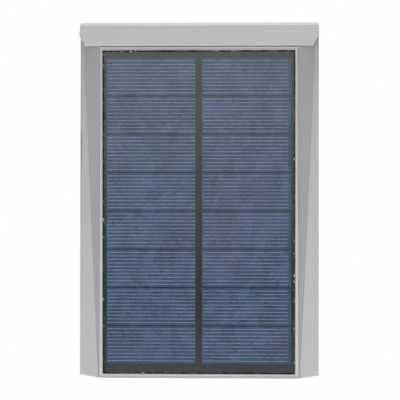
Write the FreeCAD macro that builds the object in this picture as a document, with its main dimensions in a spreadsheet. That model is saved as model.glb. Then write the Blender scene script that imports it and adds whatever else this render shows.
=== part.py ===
import FreeCAD, Part
import Sketcher
import math
import os
import re

# A wall-mounted solar lamp with a motion sensor, in millimetres.
# The wall is the plane y = 0, the lamp stands out towards -Y and Z is up.
# The origin is the middle of the four wall screws, on the wall.
# Angles are in degrees.
SIZES = {
    # the whole lamp
    "body_width": 139.8,
    "body_length": 207.8,
    "panel_tilt": 15.0,
    "face_tilt": 8.5,
    "shell_nose": 3.9,
    "parting_depth": 13.5,
    "rear_drop": 9.0,
    "lower_inset": 0.8,
    "skin_thick": 2.6,
    "wall_gap": 0.3,
    "cut_over": 1.0,
    "seat_gap": 0.3,
    "thread_fit": 0.05,
    "corner_round": 1.6,
    # wall plate with its two hooks
    "plate_width": 104.0,
    "plate_top_gap": 11.0,
    "plate_foot_gap": 10.5,
    "plate_thick": 2.0,
    "plate_corner": 6.0,
    "hole_side_inset": 10.0,
    "hole_end_inset": 8.0,
    "hole_radius": 2.5,
    "hook_spread": 56.0,
    "hook_width": 14.0,
    "hook_level": 6.0,
    "hook_lip": 7.0,
    "hook_window": 13.0,
    "lift_travel": 8.0,
    "hang_fit": 0.05,
    "recess_side_gap": 0.5,
    # lid: bezel, side wings and rear crest
    "bezel_rear_wall": 1.3,
    "bezel_front_wall": 1.9,
    "bezel_chamfer": 0.6,
    "bezel_rear_slope": 1.3,
    "bezel_nose_drop": 1.5,
    "bezel_nose_run": 1.5,
    "groove_width": 0.6,
    "groove_depth": 2.0,
    "facet_drop": 1.2,
    "crease_rear_in": 1.5,
    "crease_rear_drop": 9.2,
    "crease_front_out": 1.2,
    "crease_front_drop": 1.6,
    "edge_rear_drop": 10.2,
    "edge_front_drop": 4.8,
    "wing_setback": 1.7,
    "crest_length": 14.05,
    "crest_height": 0.8,
    "crest_lip": 1.1,
    "crest_bevel_in": 3.5,
    "crest_bevel_run": 6.2,
    "crest_groove": 0.6,
    "strip_run": 1.9,
    "strip_drop": 2.8,
    "cavity_top_in": 12.5,
    "cavity_foot_in": 3.5,
    "deck_thick": 2.4,
    "lid_rear_wall": 6.0,
    "lid_front_wall": 3.5,
    "lid_post_radius": 4.0,
    "lid_post_drop": 8.8,
    # seal between the lid and the lower shell
    "seal_thick": 0.8,
    "seal_width": 2.0,
    "seal_inset": 0.3,
    # solar module
    "module_border": 14.6,
    "module_gap": 0.8,
    "module_rear_lip": 2.0,
    "module_front_lip": 2.55,
    "recess_depth": 4.2,
    "bond_thick": 0.8,
    "bond_width": 5.0,
    "backboard_thick": 1.6,
    "cell_thick": 0.2,
    "resin_thick": 0.7,
    "cell_columns": 2,
    "cell_rows": 8,
    "cell_row_gap": 0.6,
    "cell_column_gap": 3.8,
    "cell_side_margin": 1.4,
    "cell_top_margin": 3.6,
    "cell_foot_margin": 5.2,
    # lower shell and its screws
    "shell_chamfer": 3.0,
    "post_seal_gap": 0.4,
    "well_radius": 4.8,
    "well_bore": 3.6,
    "well_seat": 3.0,
    "front_well_back": 15.0,
    "rear_well_front": 48.0,
    "screw_radius": 1.75,
    "screw_head_radius": 3.2,
    "screw_head": 2.4,
    "screw_grip": 7.0,
    "screw_pass": 0.25,
    "drive_radius": 1.1,
    "drive_depth": 1.2,
    # battery pack
    "holder_rear_gap": 1.4,
    "holder_height": 14.0,
    "holder_wall": 1.6,
    "holder_gap": 0.15,
    "holder_end_room": 5.3,
    "cell_radius": 9.2,
    "cell_length": 65.2,
    "cell_pair_gap": 0.7,
    "cap_radius": 3.2,
    "cap_length": 1.0,
    "tab_thick": 0.5,
    "tab_width": 12.0,
    "spring_foot": 4.0,
    "spring_tip": 2.4,
    "strap_width": 12.0,
    "strap_thick": 1.2,
    "strap_grip": 8.0,
    "strap_gap": 0.1,
    # motion sensor and control board
    "board_gap": 3.0,
    "control_width": 96.0,
    "control_length": 44.0,
    "control_rise": 6.4,
    "board_thick": 1.6,
    "post_radius": 3.2,
    "post_inset": 4.0,
    "tapping_radius": 1.45,
    "tapping_length": 5.5,
    "tapping_head_radius": 2.8,
    "tapping_head": 1.8,
    "dome_radius": 14.5,
    "dome_wall": 0.9,
    "dome_gap": 0.3,
    "dome_flange": 3.0,
    "dome_flange_thick": 1.2,
    "retainer_wall": 2.4,
    "sensor_radius": 4.55,
    "sensor_height": 4.2,
    "sensor_rim": 0.35,
    "sensor_rim_height": 0.6,
    "sensor_window": 4.0,
    "sensor_window_depth": 0.3,
    # mode button, its switch and the charge indicator
    "button_aside": 34.0,
    "button_radius": 4.5,
    "button_gap": 0.2,
    "button_proud": 1.0,
    "button_dish": 0.4,
    "button_rim": 1.5,
    "button_flange": 1.5,
    "button_flange_thick": 1.0,
    "button_travel": 0.6,
    "stem_radius": 2.0,
    "switch_width": 6.0,
    "switch_height": 3.4,
    "plunger_radius": 1.7,
    "plunger_out": 1.4,
    "plunger_in": 2.0,
    "plunger_gap": 0.08,
    "pipe_radius": 2.0,
    "pipe_gap": 0.1,
    "pipe_flange": 1.2,
    "pipe_flange_thick": 1.0,
    "pipe_proud": 0.2,
    "pilot_radius": 1.5,
    "pilot_length": 3.2,
    # parts soldered on the control board
    "row_setback": 11.0,
    "part_aside": 24.0,
    "chip_count": 2,
    "capacitor_count": 2,
    "chip_width": 10.0,
    "chip_depth": 6.2,
    "chip_height": 1.6,
    "chip_pitch": 14.0,
    "capacitor_radius": 4.0,
    "capacitor_height": 12.0,
    "capacitor_pitch": 10.0,
    "coil_width": 8.0,
    "coil_height": 4.2,
    "socket_width": 7.4,
    "socket_depth": 5.8,
    "socket_height": 5.8,
    "socket_aside": 28.0,
    # light: board, reflector, lens and its seal
    "light_gap": 12.0,
    "light_nose_gap": 35.98,
    "board_side_gap": 1.5,
    "lens_post_gap": 1.2,
    "lens_over": 1.0,
    "lens_flange": 5.5,
    "lens_flange_thick": 2.0,
    "lens_recess": 0.3,
    "lens_wall": 1.6,
    "lens_gap": 0.3,
    "lens_seal_thick": 0.8,
    "lens_seal_width": 4.0,
    "reflector_height": 5.6,
    "led_columns": 8,
    "led_rows": 3,
    "led_width": 3.5,
    "led_depth": 2.8,
    "led_height": 0.7,
    "cup_mouth": 4.6,
    "cup_throat": 2.6,
    # leads
    "lead_radius": 0.8,
    "lead_pitch": 2.2,
    "lead_hole_radius": 3.5,
    "lead_hole_rear": 100.0,
    "lead_drop": 18.0,
    "lead_rise": 9.0,
    "lead_reach": 5.4,
    "lead_level": 11.2,
}

# Places worked out from the sizes. The lid's own frame has its origin above the rear edge,
# on the plane of the bezel; the shell's own frame has its origin at the foot of the rear wall.
PLACES = {
    "wedge": "panel_tilt + face_tilt",
    "half_width": "body_width / 2",
    "module_width": "body_width - 2 * module_border",
    "recess_half": "module_width / 2 + module_gap",
    "bezel_rear_half": "recess_half + bezel_rear_wall",
    "bezel_front_half": "recess_half + bezel_front_wall",
    "crease_rear_half": "half_width - crease_rear_in",
    "crease_front_half": "bezel_front_half + crease_front_out",
    "cavity_top_half": "half_width - cavity_top_in",
    "cavity_foot_half": "half_width - cavity_foot_in",
    "shell_half": "half_width - lower_inset",
    "shell_reach": "body_length - lower_inset",
    "rim_depth": "parting_depth + seal_thick",
    "nose_depth": "rim_depth + shell_nose",
    "lid_up": "shell_reach * sin(wedge) + nose_depth * cos(wedge)",
    "lid_in": "-(lid_up - rear_drop * cos(wedge)) * tan(face_tilt) - rear_drop * sin(wedge)",
    "parting_in": "-(parting_depth - rear_drop) * tan(panel_tilt)",
    "rim_in": "-(rim_depth - rear_drop) * tan(panel_tilt)",
    "rim_rear_in": "lid_in + rim_in * cos(wedge) + rim_depth * sin(wedge)",
    "rim_rear_up": "lid_up + rim_in * sin(wedge) - rim_depth * cos(wedge)",
    "rear_rise": "rim_rear_up * cos(face_tilt) - rim_rear_in * sin(face_tilt)",
    "recess_low": "plate_foot_gap",
    "recess_high": "rear_rise - plate_top_gap",
    "plate_height": "recess_high - recess_low - lift_travel - 2 * recess_side_gap",
    "mount_rise": "recess_high - recess_side_gap - plate_height / 2",
    "hole_spread": "plate_width - 2 * hole_side_inset",
    "hole_rise": "plate_height - 2 * hole_end_inset",
    "lid_row_in": "-wall_gap + lid_in * cos(face_tilt) + lid_up * sin(face_tilt)",
    "lid_row_up": "-mount_rise - lid_in * sin(face_tilt) + lid_up * cos(face_tilt)",
    "well_inset": "lower_inset + seal_inset + seal_width + post_seal_gap + lid_post_radius",
    "well_aside": "half_width - well_inset",
    "front_well": "body_length - front_well_back",
    "module_rear": "crest_length + crest_groove + module_rear_lip",
    "recess_length": "body_length - module_rear - module_front_lip",
    "module_length": "recess_length - 2 * module_gap",
    "cell_gaps": "(cell_columns - 1) * cell_column_gap",
    "cell_width": "(module_width - 2 * cell_side_margin - cell_gaps) / cell_columns",
    "cell_run": "module_length - cell_top_margin - cell_foot_margin",
    "cell_height": "(cell_run + cell_row_gap) / cell_rows - cell_row_gap",
    "recess_foot": "plate_thick - wall_gap + seat_gap",
    "hook_reach": "recess_foot + skin_thick + wall_gap + seat_gap + plate_thick",
    "slot_high": "mount_rise + hook_level + plate_thick + hang_fit",
    "slot_height": "lift_travel + plate_thick + 2 * recess_side_gap",
    "cell_pitch": "2 * cell_radius + cell_pair_gap",
    "holder_width": "cell_length + 2 * (holder_end_room + holder_wall)",
    "holder_depth": "cell_pitch + 2 * (cell_radius + holder_gap + holder_wall)",
    "cell_level": "skin_thick + holder_wall + seat_gap + cell_radius",
    "strap_level": "cell_level + cell_radius + seat_gap",
    "rear_inside": "(recess_foot + skin_thick) / cos(face_tilt)",
    "strap_back": "rear_inside + (strap_level + strap_thick) * tan(face_tilt) + holder_rear_gap",
    "holder_back": "strap_back + strap_thick + strap_gap",
    "holder_mid": "-(holder_back + holder_depth / 2)",
    "control_rear": "holder_back + holder_depth + board_gap",
    "control_mid": "-(control_rear + control_length / 2)",
    "nose_foot_in": "lid_in - shell_reach * cos(wedge) + nose_depth * sin(wedge)",
    "light_rear": "control_rear + control_length + light_gap",
    "led_length": "-nose_foot_in - light_nose_gap - light_rear",
    "light_mid": "-(light_rear + led_length / 2)",
    "control_low": "skin_thick + control_rise",
    "control_top": "control_low + board_thick",
    "socket_top": "control_top + socket_height",
    "led_board_width": "2 * (well_aside - well_radius - board_side_gap)",
    "lens_width": "led_board_width - 2 * (post_inset + post_radius + lens_post_gap)",
    "lens_length": "led_length + 2 * lens_over",
    "window_width": "lens_width - 2 * lens_flange",
    "window_length": "lens_length - 2 * lens_flange",
    "lens_low": "skin_thick + lens_seal_thick",
    "lens_top": "lens_low + lens_flange_thick",
    "led_low": "lens_top + reflector_height",
    "led_top": "led_low + board_thick",
    "glass_down": "recess_depth - bond_thick - backboard_thick - cell_thick - resin_thick",
    "cell_down": "glass_down + resin_thick",
    "backboard_down": "cell_down + cell_thick",
    "bond_down": "backboard_down + backboard_thick",
    "switch_low": "control_low - switch_height",
    "button_top": "switch_low - plunger_out",
    "pilot_low": "control_low - pilot_length",
}

doc = FreeCAD.newDocument("solar_motion_lamp")
sheet = doc.addObject("Spreadsheet::Sheet", "sizes")
for row, (alias, number) in enumerate(SIZES.items(), start=1):
    sheet.set(f"A{row}", str(number))
    sheet.setAlias(f"A{row}", alias)
doc.recompute()


def linked(text):
    """An expression with the owner of every named value put before it."""

    def owned(word):
        name = word.group(0)
        if name in SIZES:
            return "sizes." + name
        if name in PLACES:
            return "places." + name
        return name

    return re.sub(r"[a-z_]+", owned, text)


places = doc.addObject("App::VarSet", "places")
for name, text in PLACES.items():
    places.addProperty("App::PropertyFloat", name)
    places.setExpression(name, linked(text))
doc.recompute()

# Where each family of pieces stands: the turn about X and the origin of its own frame.
FRAMES = {
    "wall": ("0", "0", None, 1),
    "shell": ("-wall_gap", "-mount_rise", "face_tilt", -1),
    "lid": ("lid_row_in", "lid_row_up", "panel_tilt", 1),
}

# How much of its shorter run each bend of a lead takes at its corner.
BEND_SHARE = 0.45

# Shares of a size within which an edge counts as lying flat, near or along something.
FLAT_SHARE = 0.001
NEAR_SHARE = 0.1
ALONG_SHARE = 0.9

# Every drawing starts from round first guesses this far apart and of this radius, and every
# turn from this angle. The sizes then move them.
GUESS_APART = 3
GUESS_RADIUS = 1
GUESS_TURN = 1

PIECES = []


def bind(thing, prop, text):
    thing.setExpression(prop, linked(text))


def origin_part(body, role):
    return next(part for part in body.Origin.OriginFeatures if part.Role == role)


def stand(thing, frame):
    """Puts a piece, made in its own frame, where that frame stands on the lamp."""
    across, up, turn, sense = FRAMES[frame]
    if turn:
        axis = FreeCAD.Vector(sense, 0, 0)
        thing.Placement = FreeCAD.Placement(FreeCAD.Vector(), FreeCAD.Rotation(axis, GUESS_TURN))
        bind(thing, "Placement.Rotation.Angle", turn)
    bind(thing, "Placement.Base.y", across)
    bind(thing, "Placement.Base.z", up)


def new_body(label, frame):
    body = doc.addObject("PartDesign::Body", label)
    body.Label = label
    stand(body, frame)
    PIECES.append(body)
    return body


def in_shell(across, up, turn):
    """A place given in a turned frame, as across and up in the shell's frame.

    A turn of face_tilt is the wall's own frame and a turn of wedge is the lid's."""
    first = "lid_in + " if turn == "wedge" else ""
    second = "lid_up + " if turn == "wedge" else ""
    return (
        f"{first}({across}) * cos({turn}) - ({up}) * sin({turn})",
        f"{second}({across}) * sin({turn}) + ({up}) * cos({turn})",
    )


def set_place(feature, body, at, turn=None, role="XY_Plane"):
    """Attaches a feature to a plane of its body, at a place and with a turn about X."""
    feature.AttachmentSupport = [(origin_part(body, role), "")]
    feature.MapMode = "FlatFace"
    along, across, up = at
    if turn:
        across, up = in_shell(across, up, turn)
        start = FreeCAD.Rotation(FreeCAD.Vector(1, 0, 0), GUESS_TURN)
        feature.AttachmentOffset = FreeCAD.Placement(FreeCAD.Vector(), start)
        bind(feature, "AttachmentOffset.Rotation.Angle", turn)
    bind(feature, "AttachmentOffset.Base.x", along)
    bind(feature, "AttachmentOffset.Base.y", across)
    bind(feature, "AttachmentOffset.Base.z", up)


def block(body, size, at, turn=None, cut=False):
    """A box centred across X on its place, from there towards +Y and up."""
    kind = "PartDesign::SubtractiveBox" if cut else "PartDesign::AdditiveBox"
    box = body.newObject(kind, body.Label + ("_notch" if cut else "_block"))
    width, depth, height = size
    bind(box, "Length", width)
    bind(box, "Width", depth)
    bind(box, "Height", height)
    set_place(box, body, (f"{at[0]} - ({width}) / 2", at[1], at[2]), turn)
    return box


def rod(body, radius, height, at, turn=None, cut=False):
    kind = "PartDesign::SubtractiveCylinder" if cut else "PartDesign::AdditiveCylinder"
    cylinder = body.newObject(kind, body.Label + ("_bore" if cut else "_rod"))
    bind(cylinder, "Radius", radius)
    bind(cylinder, "Height", height)
    set_place(cylinder, body, at, turn)
    return cylinder


def half_ball(body, radius, at, cut=False):
    """The lower half of a ball."""
    kind = "PartDesign::SubtractiveSphere" if cut else "PartDesign::AdditiveSphere"
    ball = body.newObject(kind, body.Label + ("_hollow" if cut else "_ball"))
    bind(ball, "Radius", radius)
    ball.Angle1 = -90
    ball.Angle2 = 0
    set_place(ball, body, at)
    return ball


def cone(body, low_radius, top_radius, height, at, cut=False):
    kind = "PartDesign::SubtractiveCone" if cut else "PartDesign::AdditiveCone"
    shape = body.newObject(kind, body.Label + ("_cup" if cut else "_cone"))
    bind(shape, "Radius1", low_radius)
    bind(shape, "Radius2", top_radius)
    bind(shape, "Height", height)
    set_place(shape, body, at)
    return shape


def draw(body, shapes, at=("0", "0", "0"), turn=None, role="XY_Plane"):
    """A drawing on a plane of the body, with every corner and circle bound to its sizes.

    A list of corners is a closed outline, and a tuple of x, y and radius is a circle."""
    drawing = body.newObject("Sketcher::SketchObject", body.Label + "_outline")
    set_place(drawing, body, at, turn, role)
    first = 0
    for number, shape in enumerate(shapes):
        if isinstance(shape, tuple):
            centre = FreeCAD.Vector(GUESS_APART * number, GUESS_APART, 0)
            drawing.addGeometry(Part.Circle(centre, FreeCAD.Vector(0, 0, 1), GUESS_RADIUS))
            rules = [("DistanceX", (-1, 1, first, 3, centre.x), shape[0]),
                     ("DistanceY", (-1, 1, first, 3, centre.y), shape[1]),
                     ("Radius", (first, 1), shape[2])]
            first += 1
        else:
            count = len(shape)
            corners = [FreeCAD.Vector(GUESS_APART * number + GUESS_RADIUS * math.cos(angle),
                                      GUESS_RADIUS * math.sin(angle), 0)
                       for angle in (math.tau * k / count for k in range(count))]
            drawing.addGeometry([Part.LineSegment(corners[k], corners[(k + 1) % count])
                                 for k in range(count)])
            drawing.addConstraint([
                Sketcher.Constraint("Coincident", first + k, 2, first + (k + 1) % count, 1)
                for k in range(count)])
            rules = []
            for k, (across, up) in enumerate(shape):
                rules.append(("DistanceX", (-1, 1, first + k, 1, corners[k].x), across))
                rules.append(("DistanceY", (-1, 1, first + k, 1, corners[k].y), up))
            first += count
        for kind, numbers, text in rules:
            rule = drawing.addConstraint(Sketcher.Constraint(kind, *numbers))
            bind(drawing, f"Constraints[{rule}]", text)
    return drawing


def corner_places(width, length, mid):
    """The four screw places of a board, as x and y."""
    return [(f"{hand}({width} / 2 - post_inset)", f"{mid} {end} ({length} / 2 - post_inset)")
            for hand in ("-", "") for end in ("-", "+")]


def well_places():
    """The four casing screws, in the lid's frame."""
    return [(f"{hand}well_aside", along)
            for hand in ("-", "") for along in ("-front_well", "-rear_well_front")]


def circles(spots, radius):
    return [(x, y, radius) for x, y in spots]


def rectangle(width, length, rear):
    """Corners of a rectangle centred on x = 0 that runs from rear towards -Y."""
    half = f"({width}) / 2"
    front = f"{rear} - ({length})"
    return [(f"-{half}", front), (half, front), (half, rear), (f"-{half}", rear)]


def centred(width, length, mid):
    """Corners of a rectangle centred on x = 0 and on a given y."""
    return rectangle(width, length, f"{mid} + ({length}) / 2")


def pad(body, drawing, length, both=False, down=False):
    solid = body.newObject("PartDesign::Pad", body.Label + "_pad")
    solid.Profile = drawing
    bind(solid, "Length", length)
    solid.Midplane = both
    solid.Reversed = down
    drawing.Visibility = False
    return solid


def pocket(body, drawing, length, both=False, forward=False):
    hollow = body.newObject("PartDesign::Pocket", body.Label + "_pocket")
    hollow.Profile = drawing
    bind(hollow, "Length", length)
    hollow.Midplane = both
    hollow.Reversed = forward
    return hollow


def edges_where(feature, test):
    return [f"Edge{k}" for k, edge in enumerate(feature.Shape.Edges, start=1) if test(edge.BoundBox)]


def grid(body, feature, columns, column_pitch, rows=None, row_pitch=None):
    """Repeats a feature along X and, where rows are given, towards -Y."""
    doc.recompute()
    group = body.newObject("PartDesign::MultiTransform", body.Label + "_grid")
    group.Originals = [feature]
    steps = []
    for axis, count, pitch, back in (
        ("X_Axis", columns, column_pitch, False),
        ("Y_Axis", rows, row_pitch, True),
    ):
        if count is None:
            continue
        step = body.newObject("PartDesign::LinearPattern", body.Label + "_row")
        step.Direction = (origin_part(body, axis), [""])
        step.Mode = "Spacing"
        step.Reversed = back
        bind(step, "Offset", pitch)
        bind(step, "Occurrences", count)
        steps.append(step)
    group.Transformations = steps
    body.Tip = group
    return group


def size(name):
    """A number from the sheet or from the places worked out from it."""
    return float(sheet.get(name)) if name in SIZES else float(getattr(places, name))


def make_wall_plate():
    """A steel plate screwed to the wall, with two hooks bent out of it that the lamp hangs on."""
    body = new_body("wall_plate", "wall")
    low = "-plate_height / 2"
    plate = block(body, ("plate_width", "plate_thick", "plate_height"), ("0", "-plate_thick", low))
    doc.recompute()
    rounded = body.newObject("PartDesign::Fillet", "wall_plate_corners")
    thick = size("plate_thick")
    flat = thick * FLAT_SHARE
    rounded.Base = (plate, edges_where(
        plate, lambda box: abs(box.YLength - thick) < flat and box.XLength < flat
        and box.ZLength < flat))
    bind(rounded, "Radius", "plate_corner")
    for side in ("-", ""):
        for level in ("-", ""):
            hole = body.newObject("PartDesign::SubtractiveCylinder", "wall_plate_hole")
            bind(hole, "Radius", "hole_radius")
            bind(hole, "Height", "plate_thick + 2 * cut_over")
            # the holes run along Y, so they stand on the wall plane itself
            set_place(hole, body, (f"{side}hole_spread / 2", f"{level}hole_rise / 2", "-cut_over"),
                      None, "XZ_Plane")
        aside = f"{side}hook_spread / 2"
        window = "hook_level - hook_window"
        block(body, ("hook_width + 2 * recess_side_gap", "plate_thick + 2 * cut_over", "hook_window"),
              (aside, "-plate_thick - cut_over", window), cut=True)
        block(body, ("hook_width", "hook_reach", "plate_thick"), (aside, "-hook_reach", "hook_level"))
        block(body, ("hook_width", "plate_thick", "plate_thick + hook_lip"),
              (aside, "-hook_reach", "hook_level"))


def lid_section(body, offset, bezel, crease, crease_drop, edge_drop):
    """The lid cut across: bezel, groove, steep inner facet, flatter outer facet and skirt."""
    right = [
        (bezel, "0"),
        (bezel, "-groove_depth"),
        (f"{bezel} + groove_width", "-groove_depth"),
        (f"{bezel} + groove_width", "-facet_drop"),
        (crease, f"-{crease_drop}"),
        ("half_width", f"-{edge_drop}"),
        ("half_width", "-parting_depth"),
    ]
    left = [(f"-({across})", up) for across, up in reversed(right)]
    return draw(body, [left + right], ("0", "0", offset), role="XZ_Plane")


def make_lid():
    """The upper casing: a bezel round the solar module, faceted wings and a crest at the rear."""
    body = new_body("top_cover", "lid")
    rear = lid_section(body, "strip_run", "bezel_rear_half", "crease_rear_half",
                       "crease_rear_drop", "edge_rear_drop")
    front = lid_section(body, "body_length", "bezel_front_half", "crease_front_half",
                        "crease_front_drop", "edge_front_drop")
    wings = body.newObject("PartDesign::AdditiveLoft", "top_cover_wings")
    wings.Profile = rear
    wings.Sections = [front]
    wings.Ruled = True
    body.Tip = wings

    # the crest is a full-width bar whose ends are cut back on a slant
    inner = "half_width - crest_bevel_in"
    slant = "-(crest_length - crest_bevel_run)"
    right = [(inner, "-crest_length"), ("half_width", slant), ("half_width", "0")]
    left = [(f"-({across})", up) for across, up in reversed(right)]
    pad(body, draw(body, [right + left], ("0", "0", "-parting_depth")), "parting_depth + crest_height")

    # everything above the side profile comes off: strip, band, crest, groove, bezel and nose
    above = "crest_height + cut_over"
    groove_rear = "-crest_length"
    groove_front = "-(crest_length + crest_groove)"
    profile = [
        ("cut_over", above),
        ("cut_over", "-parting_depth - cut_over"),
        ("parting_in - cut_over * tan(panel_tilt)", "-parting_depth - cut_over"),
        ("0", "-rear_drop"),
        ("-strip_run", "-rear_drop + strip_drop"),
        ("-(crest_length - crest_lip)", "crest_height"),
        ("-crest_length", "crest_height"),
        (groove_rear, "-groove_depth"),
        (groove_front, "-groove_depth"),
        (groove_front, "0"),
        ("-(body_length - bezel_nose_run)", "0"),
        ("-body_length", "-bezel_nose_drop"),
        ("-body_length - cut_over", "-bezel_nose_drop"),
        ("-body_length - cut_over", above),
    ]
    pocket(body, draw(body, [profile], role="YZ_Plane"), "body_width + 2 * cut_over", both=True)

    # the wings' front ends are set back on a slant
    corners = []
    for side in ("-", ""):
        corners.append([
            (f"{side}half_width", "-(body_length - wing_setback)"),
            (f"{side}bezel_front_half", "-body_length"),
            (f"{side}bezel_front_half", "-(body_length + cut_over)"),
            (f"{side}(half_width + cut_over)", "-(body_length + cut_over)"),
            (f"{side}(half_width + cut_over)", "-(body_length - wing_setback)"),
        ])
    drawing = draw(body, corners, ("0", "0", "-parting_depth - cut_over"))
    pocket(body, drawing, "parting_depth + 2 * cut_over", forward=True)
    doc.recompute()
    shaped = body.Tip
    half = size("half_width")
    strip = size("strip_run")
    near = strip / 2
    drop = size("edge_rear_drop") * NEAR_SHARE
    rounded = body.newObject("PartDesign::Fillet", "top_cover_corners")
    rounded.Base = (shaped, edges_where(
        shaped, lambda box: abs(abs(box.XMin) - half) < near and abs(abs(box.XMax) - half) < near
        and box.YMin > -strip - near and box.ZLength > drop and box.YLength < strip))
    bind(rounded, "Radius", "corner_round")

    # the well for the solar module and the chamfer round its mouth
    well_plan = rectangle("2 * recess_half", "recess_length", "-module_rear")
    well = pocket(body, draw(body, [well_plan], ("0", "0", "cut_over")), "recess_depth + cut_over")
    doc.recompute()
    rear_edge = -size("module_rear")
    mouth = size("recess_depth") * NEAR_SHARE
    slope = body.newObject("PartDesign::Chamfer", "top_cover_mouth_rear")
    slope.Base = (well, edges_where(
        well, lambda box: abs(box.ZMax) < mouth and abs(box.ZMin) < mouth
        and abs(box.YMax - rear_edge) < mouth and box.YLength < mouth))
    bind(slope, "Size", "bezel_rear_slope")
    doc.recompute()
    inside = size("recess_half") + size("bezel_chamfer")
    front_edge = rear_edge - size("recess_length")
    chamfer = body.newObject("PartDesign::Chamfer", "top_cover_mouth")
    chamfer.Base = (slope, edges_where(
        slope, lambda box: abs(box.ZMax) < mouth and abs(box.ZMin) < mouth
        and box.XMax < inside and box.XMin > -inside and box.YMax < rear_edge
        and box.YMin > front_edge - mouth))
    bind(chamfer, "Size", "bezel_chamfer")

    # the hollow under the deck
    ceiling = "-(recess_depth + deck_thick)"
    hollow = [
        ("-cavity_foot_half", "-parting_depth"),
        ("cavity_foot_half", "-parting_depth"),
        ("cavity_top_half", ceiling),
        ("-cavity_top_half", ceiling),
    ]
    hollow_drawing = draw(body, [hollow], ("0", "0", "lid_rear_wall"), role="XZ_Plane")
    pocket(body, hollow_drawing, "body_length - lid_rear_wall - lid_front_wall", forward=True)

    # posts that take the casing screws, and the hole for the module's leads
    posts = draw(body, circles(well_places(), "lid_post_radius"), ("0", "0", "-rim_depth"))
    pad(body, posts, "rim_depth - lid_post_drop")
    threads = draw(body, circles(well_places(), "screw_radius + thread_fit"), ("0", "0", "-rim_depth"))
    pocket(body, threads, "screw_grip - well_seat + screw_pass", forward=True)
    lead_place = ("socket_aside", "-lead_hole_rear", "-(recess_depth + deck_thick + cut_over)")
    rod(body, "lead_hole_radius", "deck_thick + 2 * cut_over", lead_place, cut=True)


def make_seal():
    """The flat seal that lies on the shell's rim."""
    body = new_body("housing_gasket", "lid")
    rear = "rim_in - seal_inset"
    half = "shell_half - seal_inset"
    front = "-(shell_reach - seal_inset)"
    outline = [
        (f"-({half})", f"{front} + wing_setback"),
        ("-bezel_front_half", front),
        ("bezel_front_half", front),
        (half, f"{front} + wing_setback"),
        (half, rear),
        (f"-({half})", rear),
    ]
    inner = f"{half} - seal_width"
    hole = [
        (f"-({inner})", f"{front} + wing_setback + seal_width"),
        ("-bezel_front_half", f"{front} + seal_width"),
        ("bezel_front_half", f"{front} + seal_width"),
        (inner, f"{front} + wing_setback + seal_width"),
        (inner, f"{rear} - seal_width"),
        (f"-({inner})", f"{rear} - seal_width"),
    ]
    pad(body, draw(body, [outline, hole], ("0", "0", "-rim_depth")), "seal_thick")


def make_module():
    """The solar module: bond, backboard, cells and the clear resin over them."""
    mid = "-(module_rear + module_gap + module_length)"
    bond = new_body("panel_bond", "lid")
    block(bond, ("module_width", "module_length", "bond_thick"), ("0", mid, "-recess_depth"))
    block(bond, ("module_width - 2 * bond_width", "module_length - 2 * bond_width",
                 "bond_thick + 2 * cut_over"),
          ("0", f"{mid} + bond_width", "-recess_depth - cut_over"), cut=True)

    board = new_body("panel_backboard", "lid")
    block(board, ("module_width", "module_length", "backboard_thick"), ("0", mid, "-bond_down"))

    cells = new_body("solar_cells", "lid")
    column_pitch = "cell_width + cell_column_gap"
    first = f"-({column_pitch}) * (cell_columns - 1) / 2"
    rear = "-(module_rear + module_gap + cell_top_margin)"
    cell = block(cells, ("cell_width", "cell_height", "cell_thick"),
                 (first, f"{rear} - cell_height", "-backboard_down"))
    grid(cells, cell, "cell_columns", column_pitch, "cell_rows", "cell_height + cell_row_gap")

    resin = new_body("panel_resin", "lid")
    block(resin, ("module_width", "module_length", "resin_thick"), ("0", mid, "-cell_down"))


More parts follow.
